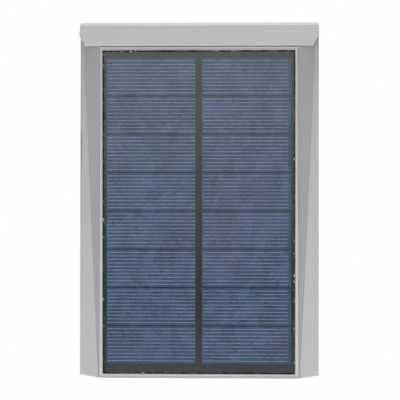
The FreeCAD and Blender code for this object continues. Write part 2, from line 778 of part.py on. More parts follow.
def make_shell():
    """The lower casing, a deep wedge with the light and the sensor in its sloping face."""
    body = new_body("bottom_housing", "shell")
    nose_top = in_shell("-shell_reach", "-rim_depth", "wedge")
    rear_top = in_shell("rim_in", "-rim_depth", "wedge")
    nose_foot = in_shell("-shell_reach", "-nose_depth", "wedge")
    side = [("0", "0"), (nose_foot[0], "0"), nose_top, rear_top]
    pad(body, draw(body, [side], role="YZ_Plane"), "2 * shell_half", both=True)
    corners = []
    for hand in ("-", ""):
        corners.append([
            (f"{hand}shell_half", "wing_setback"),
            (f"{hand}bezel_front_half", "0"),
            (f"{hand}bezel_front_half", "-cut_over"),
            (f"{hand}(shell_half + cut_over)", "-cut_over"),
            (f"{hand}(shell_half + cut_over)", "wing_setback"),
        ])
    drawing = draw(body, corners, ("0", "-shell_reach", "-nose_depth - cut_over"), "wedge")
    pocket(body, drawing, "nose_depth - rim_depth + 2 * cut_over", forward=True)
    doc.recompute()
    wedge = body.Tip
    thin = size("skin_thick") * NEAR_SHARE
    long = size("body_length") / 2
    chamfer = body.newObject("PartDesign::Chamfer", "bottom_housing_chamfer")
    chamfer.Base = (wedge, edges_where(
        wedge, lambda box: box.ZMax < thin and box.YLength > long and box.XLength < thin))
    bind(chamfer, "Size", "shell_chamfer")
    doc.recompute()
    faces = chamfer.Shape.Faces
    rim = max(range(len(faces)), key=lambda k: faces[k].CenterOfMass.z * (faces[k].Area > long * long))
    hollow = body.newObject("PartDesign::Thickness", "bottom_housing_hollow")
    hollow.Base = (chamfer, [f"Face{rim + 1}"])
    bind(hollow, "Value", "skin_thick")
    hollow.Reversed = True
    hollow.Join = "Intersection"

    # the rear wall is doubled behind the recess that takes the wall plate
    band = "recess_high - recess_low"
    block(body, ("plate_width + 2 * recess_side_gap + 2 * skin_thick", "recess_foot",
                 f"{band} + 2 * skin_thick"),
          ("0", "-(recess_foot + skin_thick)", "recess_low - skin_thick"), turn="face_tilt")
    block(body, ("plate_width + 2 * recess_side_gap", "recess_foot + cut_over", band),
          ("0", "-recess_foot", "recess_low"), turn="face_tilt", cut=True)
    for hand in ("-", ""):
        block(body, ("hook_width + 2 * recess_side_gap", "recess_foot + skin_thick + 2 * cut_over",
                     "slot_height"),
              (f"{hand}hook_spread / 2", "-(recess_foot + skin_thick + cut_over)",
               "slot_high - slot_height"), turn="face_tilt", cut=True)

    # wells for the casing screws stand square to the rim and end in the sloping face
    rim = ("0", "0", "-rim_depth")
    seat = ("0", "0", "-rim_depth - well_seat")
    deepest = "lid_up / cos(wedge)"
    wells = draw(body, circles(well_places(), "well_radius"), rim, "wedge")
    pad(body, wells, deepest, down=True)
    block(body, ("2 * half_width", "2 * body_length", "lid_up"), ("0", "-body_length", "-lid_up"),
          cut=True)
    pocket(body, draw(body, circles(well_places(), "well_bore"), seat, "wedge"), deepest)
    shanks = circles(well_places(), "screw_radius + screw_pass")
    pocket(body, draw(body, shanks, rim, "wedge"), "well_seat + cut_over")

    # openings for the light, the sensor dome, the button and the indicator
    openings = [
        centred("window_width + 2 * lens_gap", "window_length + 2 * lens_gap", "light_mid"),
        ("0", "control_mid", "dome_radius + dome_gap"),
        ("button_aside", "control_mid", "button_radius + button_gap"),
        ("-button_aside", "control_mid", "pipe_radius + pipe_gap"),
    ]
    pocket(body, draw(body, openings, ("0", "0", "skin_thick")), "skin_thick + cut_over")

    # posts for the two boards, with blind holes for their screws
    for width, length, mid, top in (
        ("led_board_width", "led_length", "light_mid", "led_low"),
        ("control_width", "control_length", "control_mid", "control_low"),
    ):
        spots = corner_places(width, length, mid)
        posts = draw(body, circles(spots, "post_radius"), ("0", "0", "skin_thick / 2"))
        pad(body, posts, f"{top} - skin_thick / 2")
        blind = draw(body, circles(spots, "tapping_radius + thread_fit"), ("0", "0", top))
        pocket(body, blind, "tapping_length - board_thick + cut_over")


def screw_group(body, spots, seat, radius, length, head_radius, head, head_up):
    """Equal screws: a shank above or below the seat, a head on it and a round drive recess."""
    low_shank, low_head = (f"{seat} - {length}", seat) if head_up else (seat, f"{seat} - {head}")
    low_drive = f"{seat} + {head} - drive_depth" if head_up else low_head
    pad(body, draw(body, circles(spots, radius), ("0", "0", low_shank)), length)
    pad(body, draw(body, circles(spots, head_radius), ("0", "0", low_head)), head)
    drive = draw(body, circles(spots, "drive_radius"), ("0", "0", low_drive))
    pocket(body, drive, "drive_depth", forward=True)


def make_casing_screws():
    """Four screws that pull the shell up against the lid."""
    body = new_body("housing_screws", "lid")
    screw_group(body, well_places(), "-rim_depth - well_seat", "screw_radius", "screw_grip",
                "screw_head_radius", "screw_head", False)


def make_board_screws():
    """Eight small screws that hold the two boards on their posts."""
    body = new_body("board_screws", "shell")
    for width, length, mid, top in (
        ("led_board_width", "led_length", "light_mid", "led_top"),
        ("control_width", "control_length", "control_mid", "control_top"),
    ):
        screw_group(body, corner_places(width, length, mid), top, "tapping_radius", "tapping_length",
                    "tapping_head_radius", "tapping_head", True)


def board_holes(body, width, length, mid, low):
    spots = circles(corner_places(width, length, mid), "tapping_radius + screw_pass")
    pocket(body, draw(body, spots, ("0", "0", low)), "board_thick", forward=True)


def make_light():
    """The light: lens with its seal, reflector, board and light-emitting diodes."""
    seal = new_body("lens_gasket", "shell")
    wide = "window_width + 2 * lens_gap"
    deep = "window_length + 2 * lens_gap"
    rim = "2 * lens_seal_width"
    block(seal, (f"{wide} + {rim}", f"{deep} + {rim}", "lens_seal_thick"),
          ("0", f"light_mid - ({deep} + {rim}) / 2", "skin_thick"))
    block(seal, (wide, deep, "lens_seal_thick + 2 * cut_over"),
          ("0", f"light_mid - ({deep}) / 2", "skin_thick - cut_over"), cut=True)

    lens = new_body("light_lens", "shell")
    block(lens, ("lens_width", "lens_length", "lens_flange_thick"),
          ("0", "light_mid - lens_length / 2", "lens_low"))
    block(lens, ("window_width", "window_length", "lens_low - lens_recess"),
          ("0", "light_mid - window_length / 2", "lens_recess"))
    inner = "2 * lens_wall"
    block(lens, (f"window_width - {inner}", f"window_length - {inner}", "lens_top + cut_over"),
          ("0", f"light_mid - (window_length - {inner}) / 2", "lens_recess + lens_wall"), cut=True)

    reflector = new_body("led_reflector", "shell")
    block(reflector, ("lens_width", "lens_length", "reflector_height"),
          ("0", "light_mid - lens_length / 2", "lens_top"))
    pitch_x = "window_width / led_columns"
    pitch_y = "window_length / led_rows"
    first_x = "-(window_width - window_width / led_columns) / 2"
    first_y = "light_mid + (window_length - window_length / led_rows) / 2"
    cup = cone(reflector, "cup_mouth", "cup_throat", "reflector_height", (first_x, first_y, "lens_top"),
               cut=True)
    grid(reflector, cup, "led_columns", pitch_x, "led_rows", pitch_y)

    board = new_body("led_board", "shell")
    block(board, ("led_board_width", "led_length", "board_thick"),
          ("0", "light_mid - led_length / 2", "led_low"))
    board_holes(board, "led_board_width", "led_length", "light_mid", "led_low")

    leds = new_body("leds", "shell")
    led = block(leds, ("led_width", "led_depth", "led_height"),
                (first_x, f"{first_y} - led_depth / 2", "led_low - led_height"))
    grid(leds, led, "led_columns", pitch_x, "led_rows", pitch_y)


def make_sensor():
    """The motion sensor: a dome lens in the shell, its retainer and the detector can."""
    dome = new_body("pir_lens", "shell")
    at = ("0", "control_mid", "0")
    half_ball(dome, "dome_radius", at)
    rod(dome, "dome_radius", "skin_thick + dome_flange_thick", at)
    rod(dome, "dome_radius + dome_flange", "dome_flange_thick", ("0", "control_mid", "skin_thick"))
    half_ball(dome, "dome_radius - dome_wall", at, cut=True)
    rod(dome, "dome_radius - dome_wall", "skin_thick + dome_flange_thick + cut_over", at, cut=True)

    ring = new_body("pir_retainer", "shell")
    foot = "(skin_thick + dome_flange_thick)"
    height = f"control_low - {foot}"
    rod(ring, "dome_radius + dome_flange", height, ("0", "control_mid", foot))
    rod(ring, "dome_radius + dome_flange - retainer_wall", f"{height} + 2 * cut_over",
        ("0", "control_mid", f"{foot} - cut_over"), cut=True)

    can = new_body("pir_sensor", "shell")
    low = "control_low - sensor_height"
    rod(can, "sensor_radius", "sensor_height", ("0", "control_mid", low))
    rod(can, "sensor_radius + sensor_rim", "sensor_rim_height",
        ("0", "control_mid", "control_low - sensor_rim_height"))
    block(can, ("sensor_window", "sensor_window", "sensor_window_depth"),
          ("0", "control_mid - sensor_window / 2", low), cut=True)


def make_control_board():
    """The control board and what is soldered on it."""
    board = new_body("control_board", "shell")
    block(board, ("control_width", "control_length", "board_thick"),
          ("0", "control_mid - control_length / 2", "control_low"))
    board_holes(board, "control_width", "control_length", "control_mid", "control_low")

    chips = new_body("control_chips", "shell")
    row_y = "control_mid + chip_depth / 2"
    chip = block(chips, ("chip_width", "chip_depth", "chip_height"),
                 ("-chip_pitch / 2", row_y, "control_top"))
    grid(chips, chip, "chip_count", "chip_pitch")

    cans = new_body("capacitors", "shell")
    can = rod(cans, "capacitor_radius", "capacitor_height",
              ("-part_aside - capacitor_pitch", "control_mid - row_setback", "control_top"))
    grid(cans, can, "capacitor_count", "capacitor_pitch")

    coil = new_body("inductor", "shell")
    block(coil, ("coil_width", "coil_width", "coil_height"),
          ("part_aside + coil_width", "control_mid - row_setback", "control_top"))

    sockets = new_body("board_sockets", "shell")
    for x, y in (("socket_aside", "control_mid"), ("-socket_aside", "control_mid + row_setback"),
                 ("0", "control_mid - row_setback")):
        block(sockets, ("socket_width", "socket_depth", "socket_height"),
              (x, f"{y} - socket_depth / 2", "control_top"))


def make_button():
    """The mode button, the switch above it and the charge indicator beside the dome."""
    button = new_body("mode_button", "shell")
    x = "button_aside"
    rod(button, "button_radius", "button_proud + skin_thick + seat_gap + button_flange_thick",
        (x, "control_mid", "-button_proud"))
    rod(button, "button_radius + button_flange", "button_flange_thick",
        (x, "control_mid", "skin_thick + seat_gap"))
    rod(button, "stem_radius", "button_top - skin_thick", (x, "control_mid", "skin_thick"))
    rod(button, "button_radius - button_rim", "button_dish", (x, "control_mid", "-button_proud"),
        cut=True)

    switch = new_body("switch_body", "shell")
    block(switch, ("switch_width", "switch_width", "switch_height"),
          (x, "control_mid - switch_width / 2", "switch_low"))
    rod(switch, "plunger_radius + plunger_gap", "plunger_in + 2 * button_travel",
        (x, "control_mid", "switch_low"), cut=True)

    plunger = new_body("switch_plunger", "shell")
    rod(plunger, "plunger_radius", "plunger_out + plunger_in", (x, "control_mid", "button_top"))

    pipe = new_body("indicator_pipe", "shell")
    rod(pipe, "pipe_radius", "pipe_proud + pilot_low - seat_gap",
        ("-button_aside", "control_mid", "-pipe_proud"))
    rod(pipe, "pipe_radius + pipe_flange", "pipe_flange_thick",
        ("-button_aside", "control_mid", "skin_thick"))
    pilot = new_body("indicator_led", "shell")
    rod(pilot, "pilot_radius", "pilot_length", ("-button_aside", "control_mid", "pilot_low"))


def lying_rod(body, radius, length, at):
    """A round bar along X, centred at its place."""
    bar = body.newObject("PartDesign::AdditiveCylinder", body.Label + "_bar")
    bind(bar, "Radius", radius)
    bind(bar, "Height", length)
    x, y, z = at
    set_place(bar, body, (y, z, f"{x} - ({length}) / 2"), None, "YZ_Plane")
    return bar


def make_battery():
    """Two round cells in a tray on the shell's floor, with contacts and a strap."""
    tray = new_body("battery_holder", "shell")
    rear = "-(holder_back + holder_depth)"
    block(tray, ("holder_width", "holder_depth", "holder_height"), ("0", rear, "skin_thick"))
    block(tray, ("holder_width - 2 * holder_wall", "holder_depth - 2 * holder_wall",
                 "holder_height + cut_over"),
          ("0", f"{rear} + holder_wall", "skin_thick + holder_wall"), cut=True)

    cells = new_body("battery_cells", "shell")
    contacts = new_body("battery_contacts", "shell")
    end = "holder_width / 2 - holder_wall"
    for hand, other in (("-", "+"), ("+", "-")):
        y = f"holder_mid {hand} cell_pitch / 2"
        lying_rod(cells, "cell_radius", "cell_length", ("0", y, "cell_level"))
        button_end = f"{other}(cell_length / 2 + cap_length / 2)"
        lying_rod(cells, "cap_radius", "cap_length", (button_end, y, "cell_level"))
        for x_hand in ("-", "+"):
            tab_x = f"{x_hand}({end} - tab_thick / 2)"
            block(contacts, ("tab_thick", "tab_width", "tab_width"),
                  (tab_x, f"{y} - tab_width / 2", "cell_level - tab_width / 2"))
            reach = f"{end} - tab_thick - cell_length / 2 - seat_gap"
            if x_hand == other:
                reach = f"{reach} - cap_length"
            lying_rod(contacts, "spring_tip" if x_hand == other else "spring_foot", reach,
                      (f"{x_hand}({end} - tab_thick - ({reach}) / 2)", y, "cell_level"))

    strap = new_body("battery_strap", "shell")
    leg = "holder_depth / 2 + strap_gap"
    foot = "strap_level - strap_grip - holder_wall"
    outline = [
        (f"holder_mid - ({leg} + strap_thick)", foot),
        (f"holder_mid - ({leg})", foot),
        (f"holder_mid - ({leg})", "strap_level"),
        (f"holder_mid + {leg}", "strap_level"),
        (f"holder_mid + {leg}", foot),
        (f"holder_mid + {leg} + strap_thick", foot),
        (f"holder_mid + {leg} + strap_thick", "strap_level + strap_thick"),
        (f"holder_mid - ({leg} + strap_thick)", "strap_level + strap_thick"),
    ]
    pad(strap, draw(strap, [outline], role="YZ_Plane"), "strap_width", both=True)


def from_lid(across, up):
    """A point of the lid's frame in the shell's frame, as numbers."""
    turn = math.radians(size("wedge"))
    return (
        size("lid_in") + across * math.cos(turn) - up * math.sin(turn),
        size("lid_up") + across * math.sin(turn) + up * math.cos(turn),
    )


def lead_path(points):
    """Straight runs joined by arcs, each as large as its two runs allow."""
    edges = []
    start = points[0]
    for before, here, after in zip(points, points[1:], points[2:]):
        run_in = here - before
        run_out = after - here
        turn = run_in.getAngle(run_out)
        cut_back = BEND_SHARE * min(run_in.Length, run_out.Length)
        bend_start = here - run_in.normalize() * cut_back
        bend_end = here + run_out.normalize() * cut_back
        radius = cut_back / math.tan(turn / 2)
        inward = (bend_start + bend_end) * 0.5 - here
        centre = here + inward.normalize() * (radius / math.cos(turn / 2))
        middle = centre + (here - centre).normalize() * radius
        edges.append(Part.LineSegment(start, bend_start).toShape())
        edges.append(Part.Arc(bend_start, middle, bend_end).toShape())
        start = bend_end
    edges.append(Part.LineSegment(start, points[-1]).toShape())
    return Part.Wire(edges)


def make_leads(label, points):
    """A pair of insulated leads side by side along one route in the shell's frame."""
    solids = []
    radius = size("lead_radius")
    for side in (-1, 1):
        shift = FreeCAD.Vector(side * size("lead_pitch") / 2, 0, 0)
        route = [FreeCAD.Vector(*point) + shift for point in points]
        path = lead_path(route)
        ring = Part.Wire(Part.makeCircle(radius, route[0], route[1] - route[0]))
        tube = path.makePipeShell([ring], True, True)
        solids.append(tube)
        section = math.pi * radius ** 2
        print(label, "volume over section times length", round(tube.Volume / (section * path.Length), 4))
    leads = doc.addObject("Part::Feature", label)
    leads.Label = label
    leads.Shape = Part.makeCompound(solids)
    stand(leads, "shell")
    PIECES.append(leads)


def make_all_leads():
    """Leads of the module, the battery and the light, each to its socket."""
    top = size("socket_top")
    high = top + size("lead_rise")
    aside = size("socket_aside")
    control = size("control_mid")
    setback = size("row_setback")
    hole = -size("lead_hole_rear")
    start = from_lid(hole, -size("bond_down"))
    bend = from_lid(hole, -size("bond_down") - size("lead_drop"))
    make_leads("panel_leads", [
        (aside, *start),
        (aside, *bend),
        (aside, control, high),
        (aside, control, top),
    ])
    front = -(size("holder_back") + size("holder_depth"))
    level = size("skin_thick") + size("lead_level")
    socket = control + setback
    make_leads("battery_leads", [
        (-aside, front, level),
        (-aside, front - size("lead_reach"), level),
        (-aside, socket, high),
        (-aside, socket, top),
    ])
    light = size("light_mid") + size("led_length") / 2 - size("post_inset")
    socket = control - setback
    make_leads("led_leads", [
        (0, light, size("led_top")),
        (0, light, high),
        (0, socket, high),
        (0, socket, top),
    ])


make_wall_plate()
make_lid()
make_seal()
make_module()
make_shell()
make_casing_screws()
make_light()
make_sensor()
make_control_board()
make_button()
make_battery()
make_board_screws()
make_all_leads()
doc.recompute()

faults = [thing.Name for thing in doc.Objects if {"Invalid", "Error"} & set(thing.State)]
for piece in PIECES:
    shape = piece.Shape
    if shape.isNull() or not shape.isValid() or not shape.Solids:
        faults.append(piece.Label)
if faults:
    raise RuntimeError("these objects failed: " + ", ".join(faults))

os.makedirs("parts", exist_ok=True)
for piece in PIECES:
    piece.Shape.exportStep(os.path.join("parts", piece.Label + ".step"))
    box = piece.Shape.BoundBox
    print(piece.Label, len(piece.Shape.Solids), "solids, volume", round(piece.Shape.Volume, 1))
    print("   from", [round(v, 1) for v in (box.XMin, box.YMin, box.ZMin)],
          "to", [round(v, 1) for v in (box.XMax, box.YMax, box.ZMax)])
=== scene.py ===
import math

import bmesh
import bpy
from mathutils import Matrix, Vector


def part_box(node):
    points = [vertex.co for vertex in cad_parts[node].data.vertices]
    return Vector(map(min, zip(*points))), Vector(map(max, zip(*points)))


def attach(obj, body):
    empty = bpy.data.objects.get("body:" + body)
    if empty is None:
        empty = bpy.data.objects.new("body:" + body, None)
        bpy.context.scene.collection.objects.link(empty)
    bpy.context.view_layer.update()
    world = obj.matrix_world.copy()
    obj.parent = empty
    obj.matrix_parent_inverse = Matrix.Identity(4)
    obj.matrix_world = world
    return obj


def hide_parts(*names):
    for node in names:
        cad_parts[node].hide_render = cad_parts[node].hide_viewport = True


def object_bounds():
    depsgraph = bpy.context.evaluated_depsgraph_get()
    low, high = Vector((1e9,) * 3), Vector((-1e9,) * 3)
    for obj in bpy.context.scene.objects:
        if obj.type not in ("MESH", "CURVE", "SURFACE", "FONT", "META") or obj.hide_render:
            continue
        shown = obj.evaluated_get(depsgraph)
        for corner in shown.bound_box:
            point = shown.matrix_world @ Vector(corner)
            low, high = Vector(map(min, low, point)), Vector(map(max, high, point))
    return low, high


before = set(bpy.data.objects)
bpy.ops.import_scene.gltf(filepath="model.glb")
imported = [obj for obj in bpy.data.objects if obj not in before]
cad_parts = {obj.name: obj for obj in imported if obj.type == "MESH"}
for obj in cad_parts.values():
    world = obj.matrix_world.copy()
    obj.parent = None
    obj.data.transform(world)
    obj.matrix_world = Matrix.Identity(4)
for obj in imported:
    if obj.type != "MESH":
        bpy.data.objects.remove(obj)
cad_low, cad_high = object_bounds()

# A wall-mounted solar lamp with a motion sensor. Lengths are in metres, and the wall is y = 0.
MM = 0.001

# The two sloping frames of the lamp: the lid's, along the solar module, and the lower face's.
PANEL_TILT = math.radians(15)
FACE_TILT = math.radians(8.5)

# solar module, measured forward from the lid's rear edge and down from the bezel
MODULE_REAR = 17.45 * MM
GLASS_DOWN = 0.9 * MM
GLASS_THICK = 0.7 * MM
GLASS_SINK = 0.14 * MM
CELL_ROWS = 8
CELL_WIDTH = 52.0 * MM
CELL_HEIGHT = 21.75 * MM
COLUMN_GAP = 3.8 * MM
ROW_GAP = 0.6 * MM
TOP_MARGIN = 3.6 * MM
FINGERS = 10
FINGER_PITCH = 2.07 * MM
FINGER_WIDTH = 0.34 * MM
FINGER_THICK = 0.03 * MM
FINGER_SHORT = 1.5 * MM

# The adhesive round the module, near black as painted shade in the gap. BEAD_LUMPS is how many
# lumps come to a metre, and BEAD_THIN and BEAD_THICK are the shares of its radius between which it
# swells.
# It is smeared beyond SMEAR_ASIDE to the right, and turns cream at SMEAR_CREAM on the way to the
# nose.
GAP_WIDTH = 0.8 * MM
BEAD_RADIUS = 0.5 * MM
BEAD_DOWN = 1.25 * MM
BEAD_WANDER = 0.25 * MM
BEAD_LUMPS = 240.0
BEAD_THIN = 0.35
BEAD_THICK = 1.25
BEAD_POINTS = 900
BEAD_SIDES = 8
SMEAR_ASIDE = 55.85 * MM
SMEAR_CREAM = -165.0 * MM
SMEAR_FADE = 20.0 * MM

# how far the wafers' crystals are bent out of their pattern, and how drawn metal's is stretched
GRAIN_WARP = 4.0 * MM
DRAWN_OUT = 0.03

# Where along Y the painted warm reflection fades out from the rear, and its cool part grows to the
# nose.
REFLECTION_REAR = -8.0 * MM
REFLECTION_FRONT = -140.0 * MM
REFLECTION_WANDER = 30.0 * MM
REFLECTION_TURN = -160.0 * MM
REFLECTION_NOSE = -200.0 * MM

# Casing screws, in the lid's frame. The thread's and the tip's sizes are shares of the screw's
# radius, the rim's and the cross's depth shares of the head's height, and the cross's arm and
# blade shares of the head's radius.
SCREW_RADIUS = 1.75 * MM
SCREW_HEAD_RADIUS = 3.2 * MM
SCREW_HEAD = 2.4 * MM
SCREW_GRIP = 7.0 * MM
SCREW_TIP = 0.55
THREAD_STEP = 0.45
THREAD_ROOT = 0.84
HEAD_RIM = 0.45
CROSS_DEPTH = 0.62
CROSS_ARM = 0.62
CROSS_BLADE = 0.13
SCREW_AROUND = 48
SCREW_CAP_STEPS = 14
SCREW_SEED = 4

# light, in the lower face's frame
LENS_FLANGE = 5.5 * MM
LENS_FLANGE_THICK = 2.0 * MM
LENS_WALL = 1.6 * MM
LENSLET_RISE = 0.45 * MM
LENS_STEPS_ACROSS = 96
LENS_STEPS_ALONG = 54
LED_COLUMNS = 8
LED_ROWS = 3
LED_WIDTH = 3.5 * MM
LED_DEPTH = 2.8 * MM
PHOSPHOR_RADIUS = 1.15 * MM
PHOSPHOR_THICK = 0.06 * MM
PHOSPHOR_AROUND = 24

# Sensor dome, in the lower face's frame. Each ring of facets is given by the angles off the
# dome's axis between which it lies, in degrees, and by its number of facets.
DOME_RADIUS = 14.5 * MM
DOME_WALL = 0.9 * MM
DOME_FLANGE = 3.0 * MM
DOME_FLANGE_LOW = 2.6 * MM
DOME_FLANGE_TOP = 3.8 * MM
DOME_FACETS = ((0.0, 20.0, 1), (20.0, 43.0, 7), (43.0, 66.0, 12), (66.0, 88.0, 16))
FACET_GROOVE = 0.22 * MM
FACET_EDGE = 0.25
DOME_OUTER_STEPS = 60
DOME_INNER_STEPS = 20
DOME_AROUND = 160

# how far the middle of a pair of leads lies aside
LEAD_ASIDE = 28.0 * MM

# edges and meshes
MERGE = 0.002 * MM
FLAT_ANGLE = math.radians(0.4)
SHARP_ANGLE = math.radians(13)
SMOOTH_ANGLE = math.radians(38)
EDGE_SEGMENTS = 3

# The camera looks nearly square onto the module, a little from the right and from the rear.
VIEW_WIDTH = 232.9 * MM
VIEW_ASIDE = 0.8 * MM
VIEW_BACK = 103.7 * MM
VIEW_LENS = 190.0
VIEW_YAW = math.radians(2.8)
VIEW_PITCH = math.radians(1.0)

# The studio. MIRRORED_LEVEL is how bright its backdrop is in gloss and through glass.
FLOOR_DROP = 100.0 * MM
FLOOR_REACH = 6.0
FLOOR_GREY = 0.62
WORLD_LEVEL = 0.12
MIRRORED_LEVEL = 0.35
# Each lamp: its name, the side it stands on (0 the nose, 90 the right), its angle off the line
# of sight, its distance, its size and its power.
LAMPS = [
    ("lamp_nose", 0, 38, 0.65, 0.5, 1.83),
    ("lamp_left", -90, 27, 1.5, 0.8, 3.04),
    ("lamp_right", 90, 26, 1.5, 0.8, 3.04),
    ("lamp_rear", 180, 22, 1.5, 0.65, 3.39),
    ("lamp_low", 180, 68, 1.5, 1.2, 4.52),
    ("lamp_rim", 180, 112, 1.5, 0.6, 5.22),
    ("lamp_under", 0, 150, 1.5, 1.2, 3.92),
]


def lid_frame():
    """The lid's frame: its origin is above the rear edge, on the plane of the bezel."""
    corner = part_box("panel_resin")[1]
    across = corner.y + math.cos(PANEL_TILT) * MODULE_REAR
    across -= math.sin(PANEL_TILT) * (GLASS_DOWN + GLASS_THICK)
    up = corner.z + math.sin(PANEL_TILT) * MODULE_REAR + math.cos(PANEL_TILT) * GLASS_DOWN
    return Matrix.Translation((0, across, up)) @ Matrix.Rotation(PANEL_TILT, 4, "X")


def shell_frame():
    """The lower face's frame: its origin is at the foot of the rear wall."""
    low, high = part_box("bottom_housing")
    return Matrix.Translation((0, high.y, low.z)) @ Matrix.Rotation(-FACE_TILT, 4, "X")


LID = lid_frame()
SHELL = shell_frame()


def span(node, place):
    """A node's lowest and highest corners in a sloping frame of the lamp."""
    back = place.inverted()
    corners = [back @ vertex.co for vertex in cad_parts[node].data.vertices]
    return (Vector([min(corner[k] for corner in corners) for k in range(3)]),
            Vector([max(corner[k] for corner in corners) for k in range(3)]))


# Nodes and links

NUMBER = "NodeSocketFloat"
COUNT = "NodeSocketInt"
COLOUR = "NodeSocketColor"
VECTOR = "NodeSocketVector"
SHAPE = "NodeSocketGeometry"


def add(tree, kind, inputs=None, **settings):
    """Adds a node. An input is a plain value or another node's output socket."""
    made = tree.nodes.new(kind)
    for name, value in settings.items():
        setattr(made, name, value)
    for key, value in (inputs or {}).items():
        socket = made.inputs[key]
        if isinstance(value, bpy.types.NodeSocket):
            tree.links.new(value, socket)
        else:
            socket.default_value = value
    return made


def feed(tree, target, **sources):
    """Links sockets to a node's inputs. Underscores in an input's name stand for spaces."""
    for name, source in sources.items():
        tree.links.new(source, target.inputs[name.replace("_", " ")])


def fix(target, **values):
    """Sets plain values on a node's inputs. Underscores in an input's name stand for spaces."""
    for name, value in values.items():
        target.inputs[name.replace("_", " ")].default_value = value


def sum_of(tree, operation, *values):
    """The result of a sum on one, two or three numbers."""
    return add(tree, "ShaderNodeMath", dict(enumerate(values)), operation=operation).outputs[0]


def ranged(tree, value, start=0.0, end=1.0, low=0.0, high=1.0):
    """Low up to the start, high from the end on, and evenly changing between them."""
    return add(tree, "ShaderNodeMapRange", {
        "Value": value, "From Min": start, "From Max": end, "To Min": low,
        "To Max": high}).outputs[0]


def lumps_of(tree, size):
    """How many lumps of a size come to a metre."""
    return sum_of(tree, "DIVIDE", 1.0, size)


def clouds(tree, place, scale, detail):
    """The outputs of a soft random pattern, its scale in lumps to the metre."""
    return add(tree, "ShaderNodeTexNoise",
               {"Vector": place, "Scale": scale, "Detail": detail}).outputs


def blend(tree, factor, first, second):
    """A colour between two colours."""
    return add(tree, "ShaderNodeMix", {"Factor": factor, "A": first, "B": second},
               data_type="RGBA").outputs["Result"]


def times(tree, colour, factor):
    """A colour or a vector times a number."""
    return add(tree, "ShaderNodeVectorMath", {0: colour, "Scale": factor},
               operation="SCALE").outputs[0]


def vector(tree, x=0.0, y=0.0, z=0.0):
    """A vector from its three parts."""
    return add(tree, "ShaderNodeCombineXYZ", {"X": x, "Y": y, "Z": z}).outputs[0]


def object_place(tree):
    """Where on the object a point lies."""
    return add(tree, "ShaderNodeTexCoord").outputs["Object"]


def new_group(name, kind, inputs, outputs):
    """A node group with named outputs and inputs, which may have a value to start from."""
    tree = bpy.data.node_groups.new(name, kind)
    for label, socket_type, *value in inputs:
        socket = tree.interface.new_socket(label, in_out="INPUT", socket_type=socket_type)
        if value:
            socket.default_value = value[0]
    for label, socket_type in outputs:
        tree.interface.new_socket(label, in_out="OUTPUT", socket_type=socket_type)
    given = tree.nodes.new("NodeGroupInput").outputs
    return tree, given, tree.nodes.new("NodeGroupOutput")


# Shader groups


def moulded_surface():
    """Shader group: soft patches of tint, a fine grain and a roughness that wanders with them."""
    tree, given, result = new_group(
        "moulded_surface", "ShaderNodeTree",
        [("Colour", COLOUR, (0.5, 0.5, 0.5, 1)),
         ("Tint", NUMBER, 0.05),
         ("Patch size", NUMBER, 0.02),
         ("Grain size", NUMBER, 0.0005),
         ("Grain depth", NUMBER, 0.00002),
         ("Roughness", NUMBER, 0.5),
         ("Roughness spread", NUMBER, 0.1)],
        [("Colour", COLOUR), ("Roughness", NUMBER), ("Normal", VECTOR)])
    place = object_place(tree)
    patches = clouds(tree, place, lumps_of(tree, given["Patch size"]), detail=3.0)["Fac"]
    grain = clouds(tree, place, lumps_of(tree, given["Grain size"]), detail=2.0)["Fac"]
    low = sum_of(tree, "SUBTRACT", 1.0, given["Tint"])
    high = sum_of(tree, "ADD", 1.0, given["Tint"])
    shade = ranged(tree, patches, start=0.3, end=0.7, low=low, high=high)
    fleck = ranged(tree, grain, start=0.2, end=0.8, low=low, high=high)
    centred = sum_of(tree, "SUBTRACT", patches, 0.5)
    bump = add(tree, "ShaderNodeBump", {"Strength": 1.0, "Distance": given["Grain depth"],
                                        "Height": grain})
    feed(tree, result,
         Colour=times(tree, given["Colour"], sum_of(tree, "MULTIPLY", shade, fleck)),
         Roughness=sum_of(tree, "MULTIPLY_ADD", centred, given["Roughness spread"],
                          given["Roughness"]),
         Normal=bump.outputs[0])
    return tree


def brushed_lines():
    """Shader group: the normal of fine lines along X, for rolled and plated metal."""
    tree, given, result = new_group(
        "brushed_lines", "ShaderNodeTree",
        [("Line width", NUMBER, 0.0003), ("Depth", NUMBER, 0.000005)],
        [("Normal", VECTOR)])
    drawn = add(tree, "ShaderNodeMapping", {"Vector": object_place(tree),
                                            "Scale": (DRAWN_OUT, 1.0, 1.0)})
    lines = clouds(tree, drawn.outputs[0], lumps_of(tree, given["Line width"]), detail=2.0)
    bump = add(tree, "ShaderNodeBump", {"Distance": given["Depth"], "Height": lines["Fac"]})
    feed(tree, result, Normal=bump.outputs[0])
    return tree


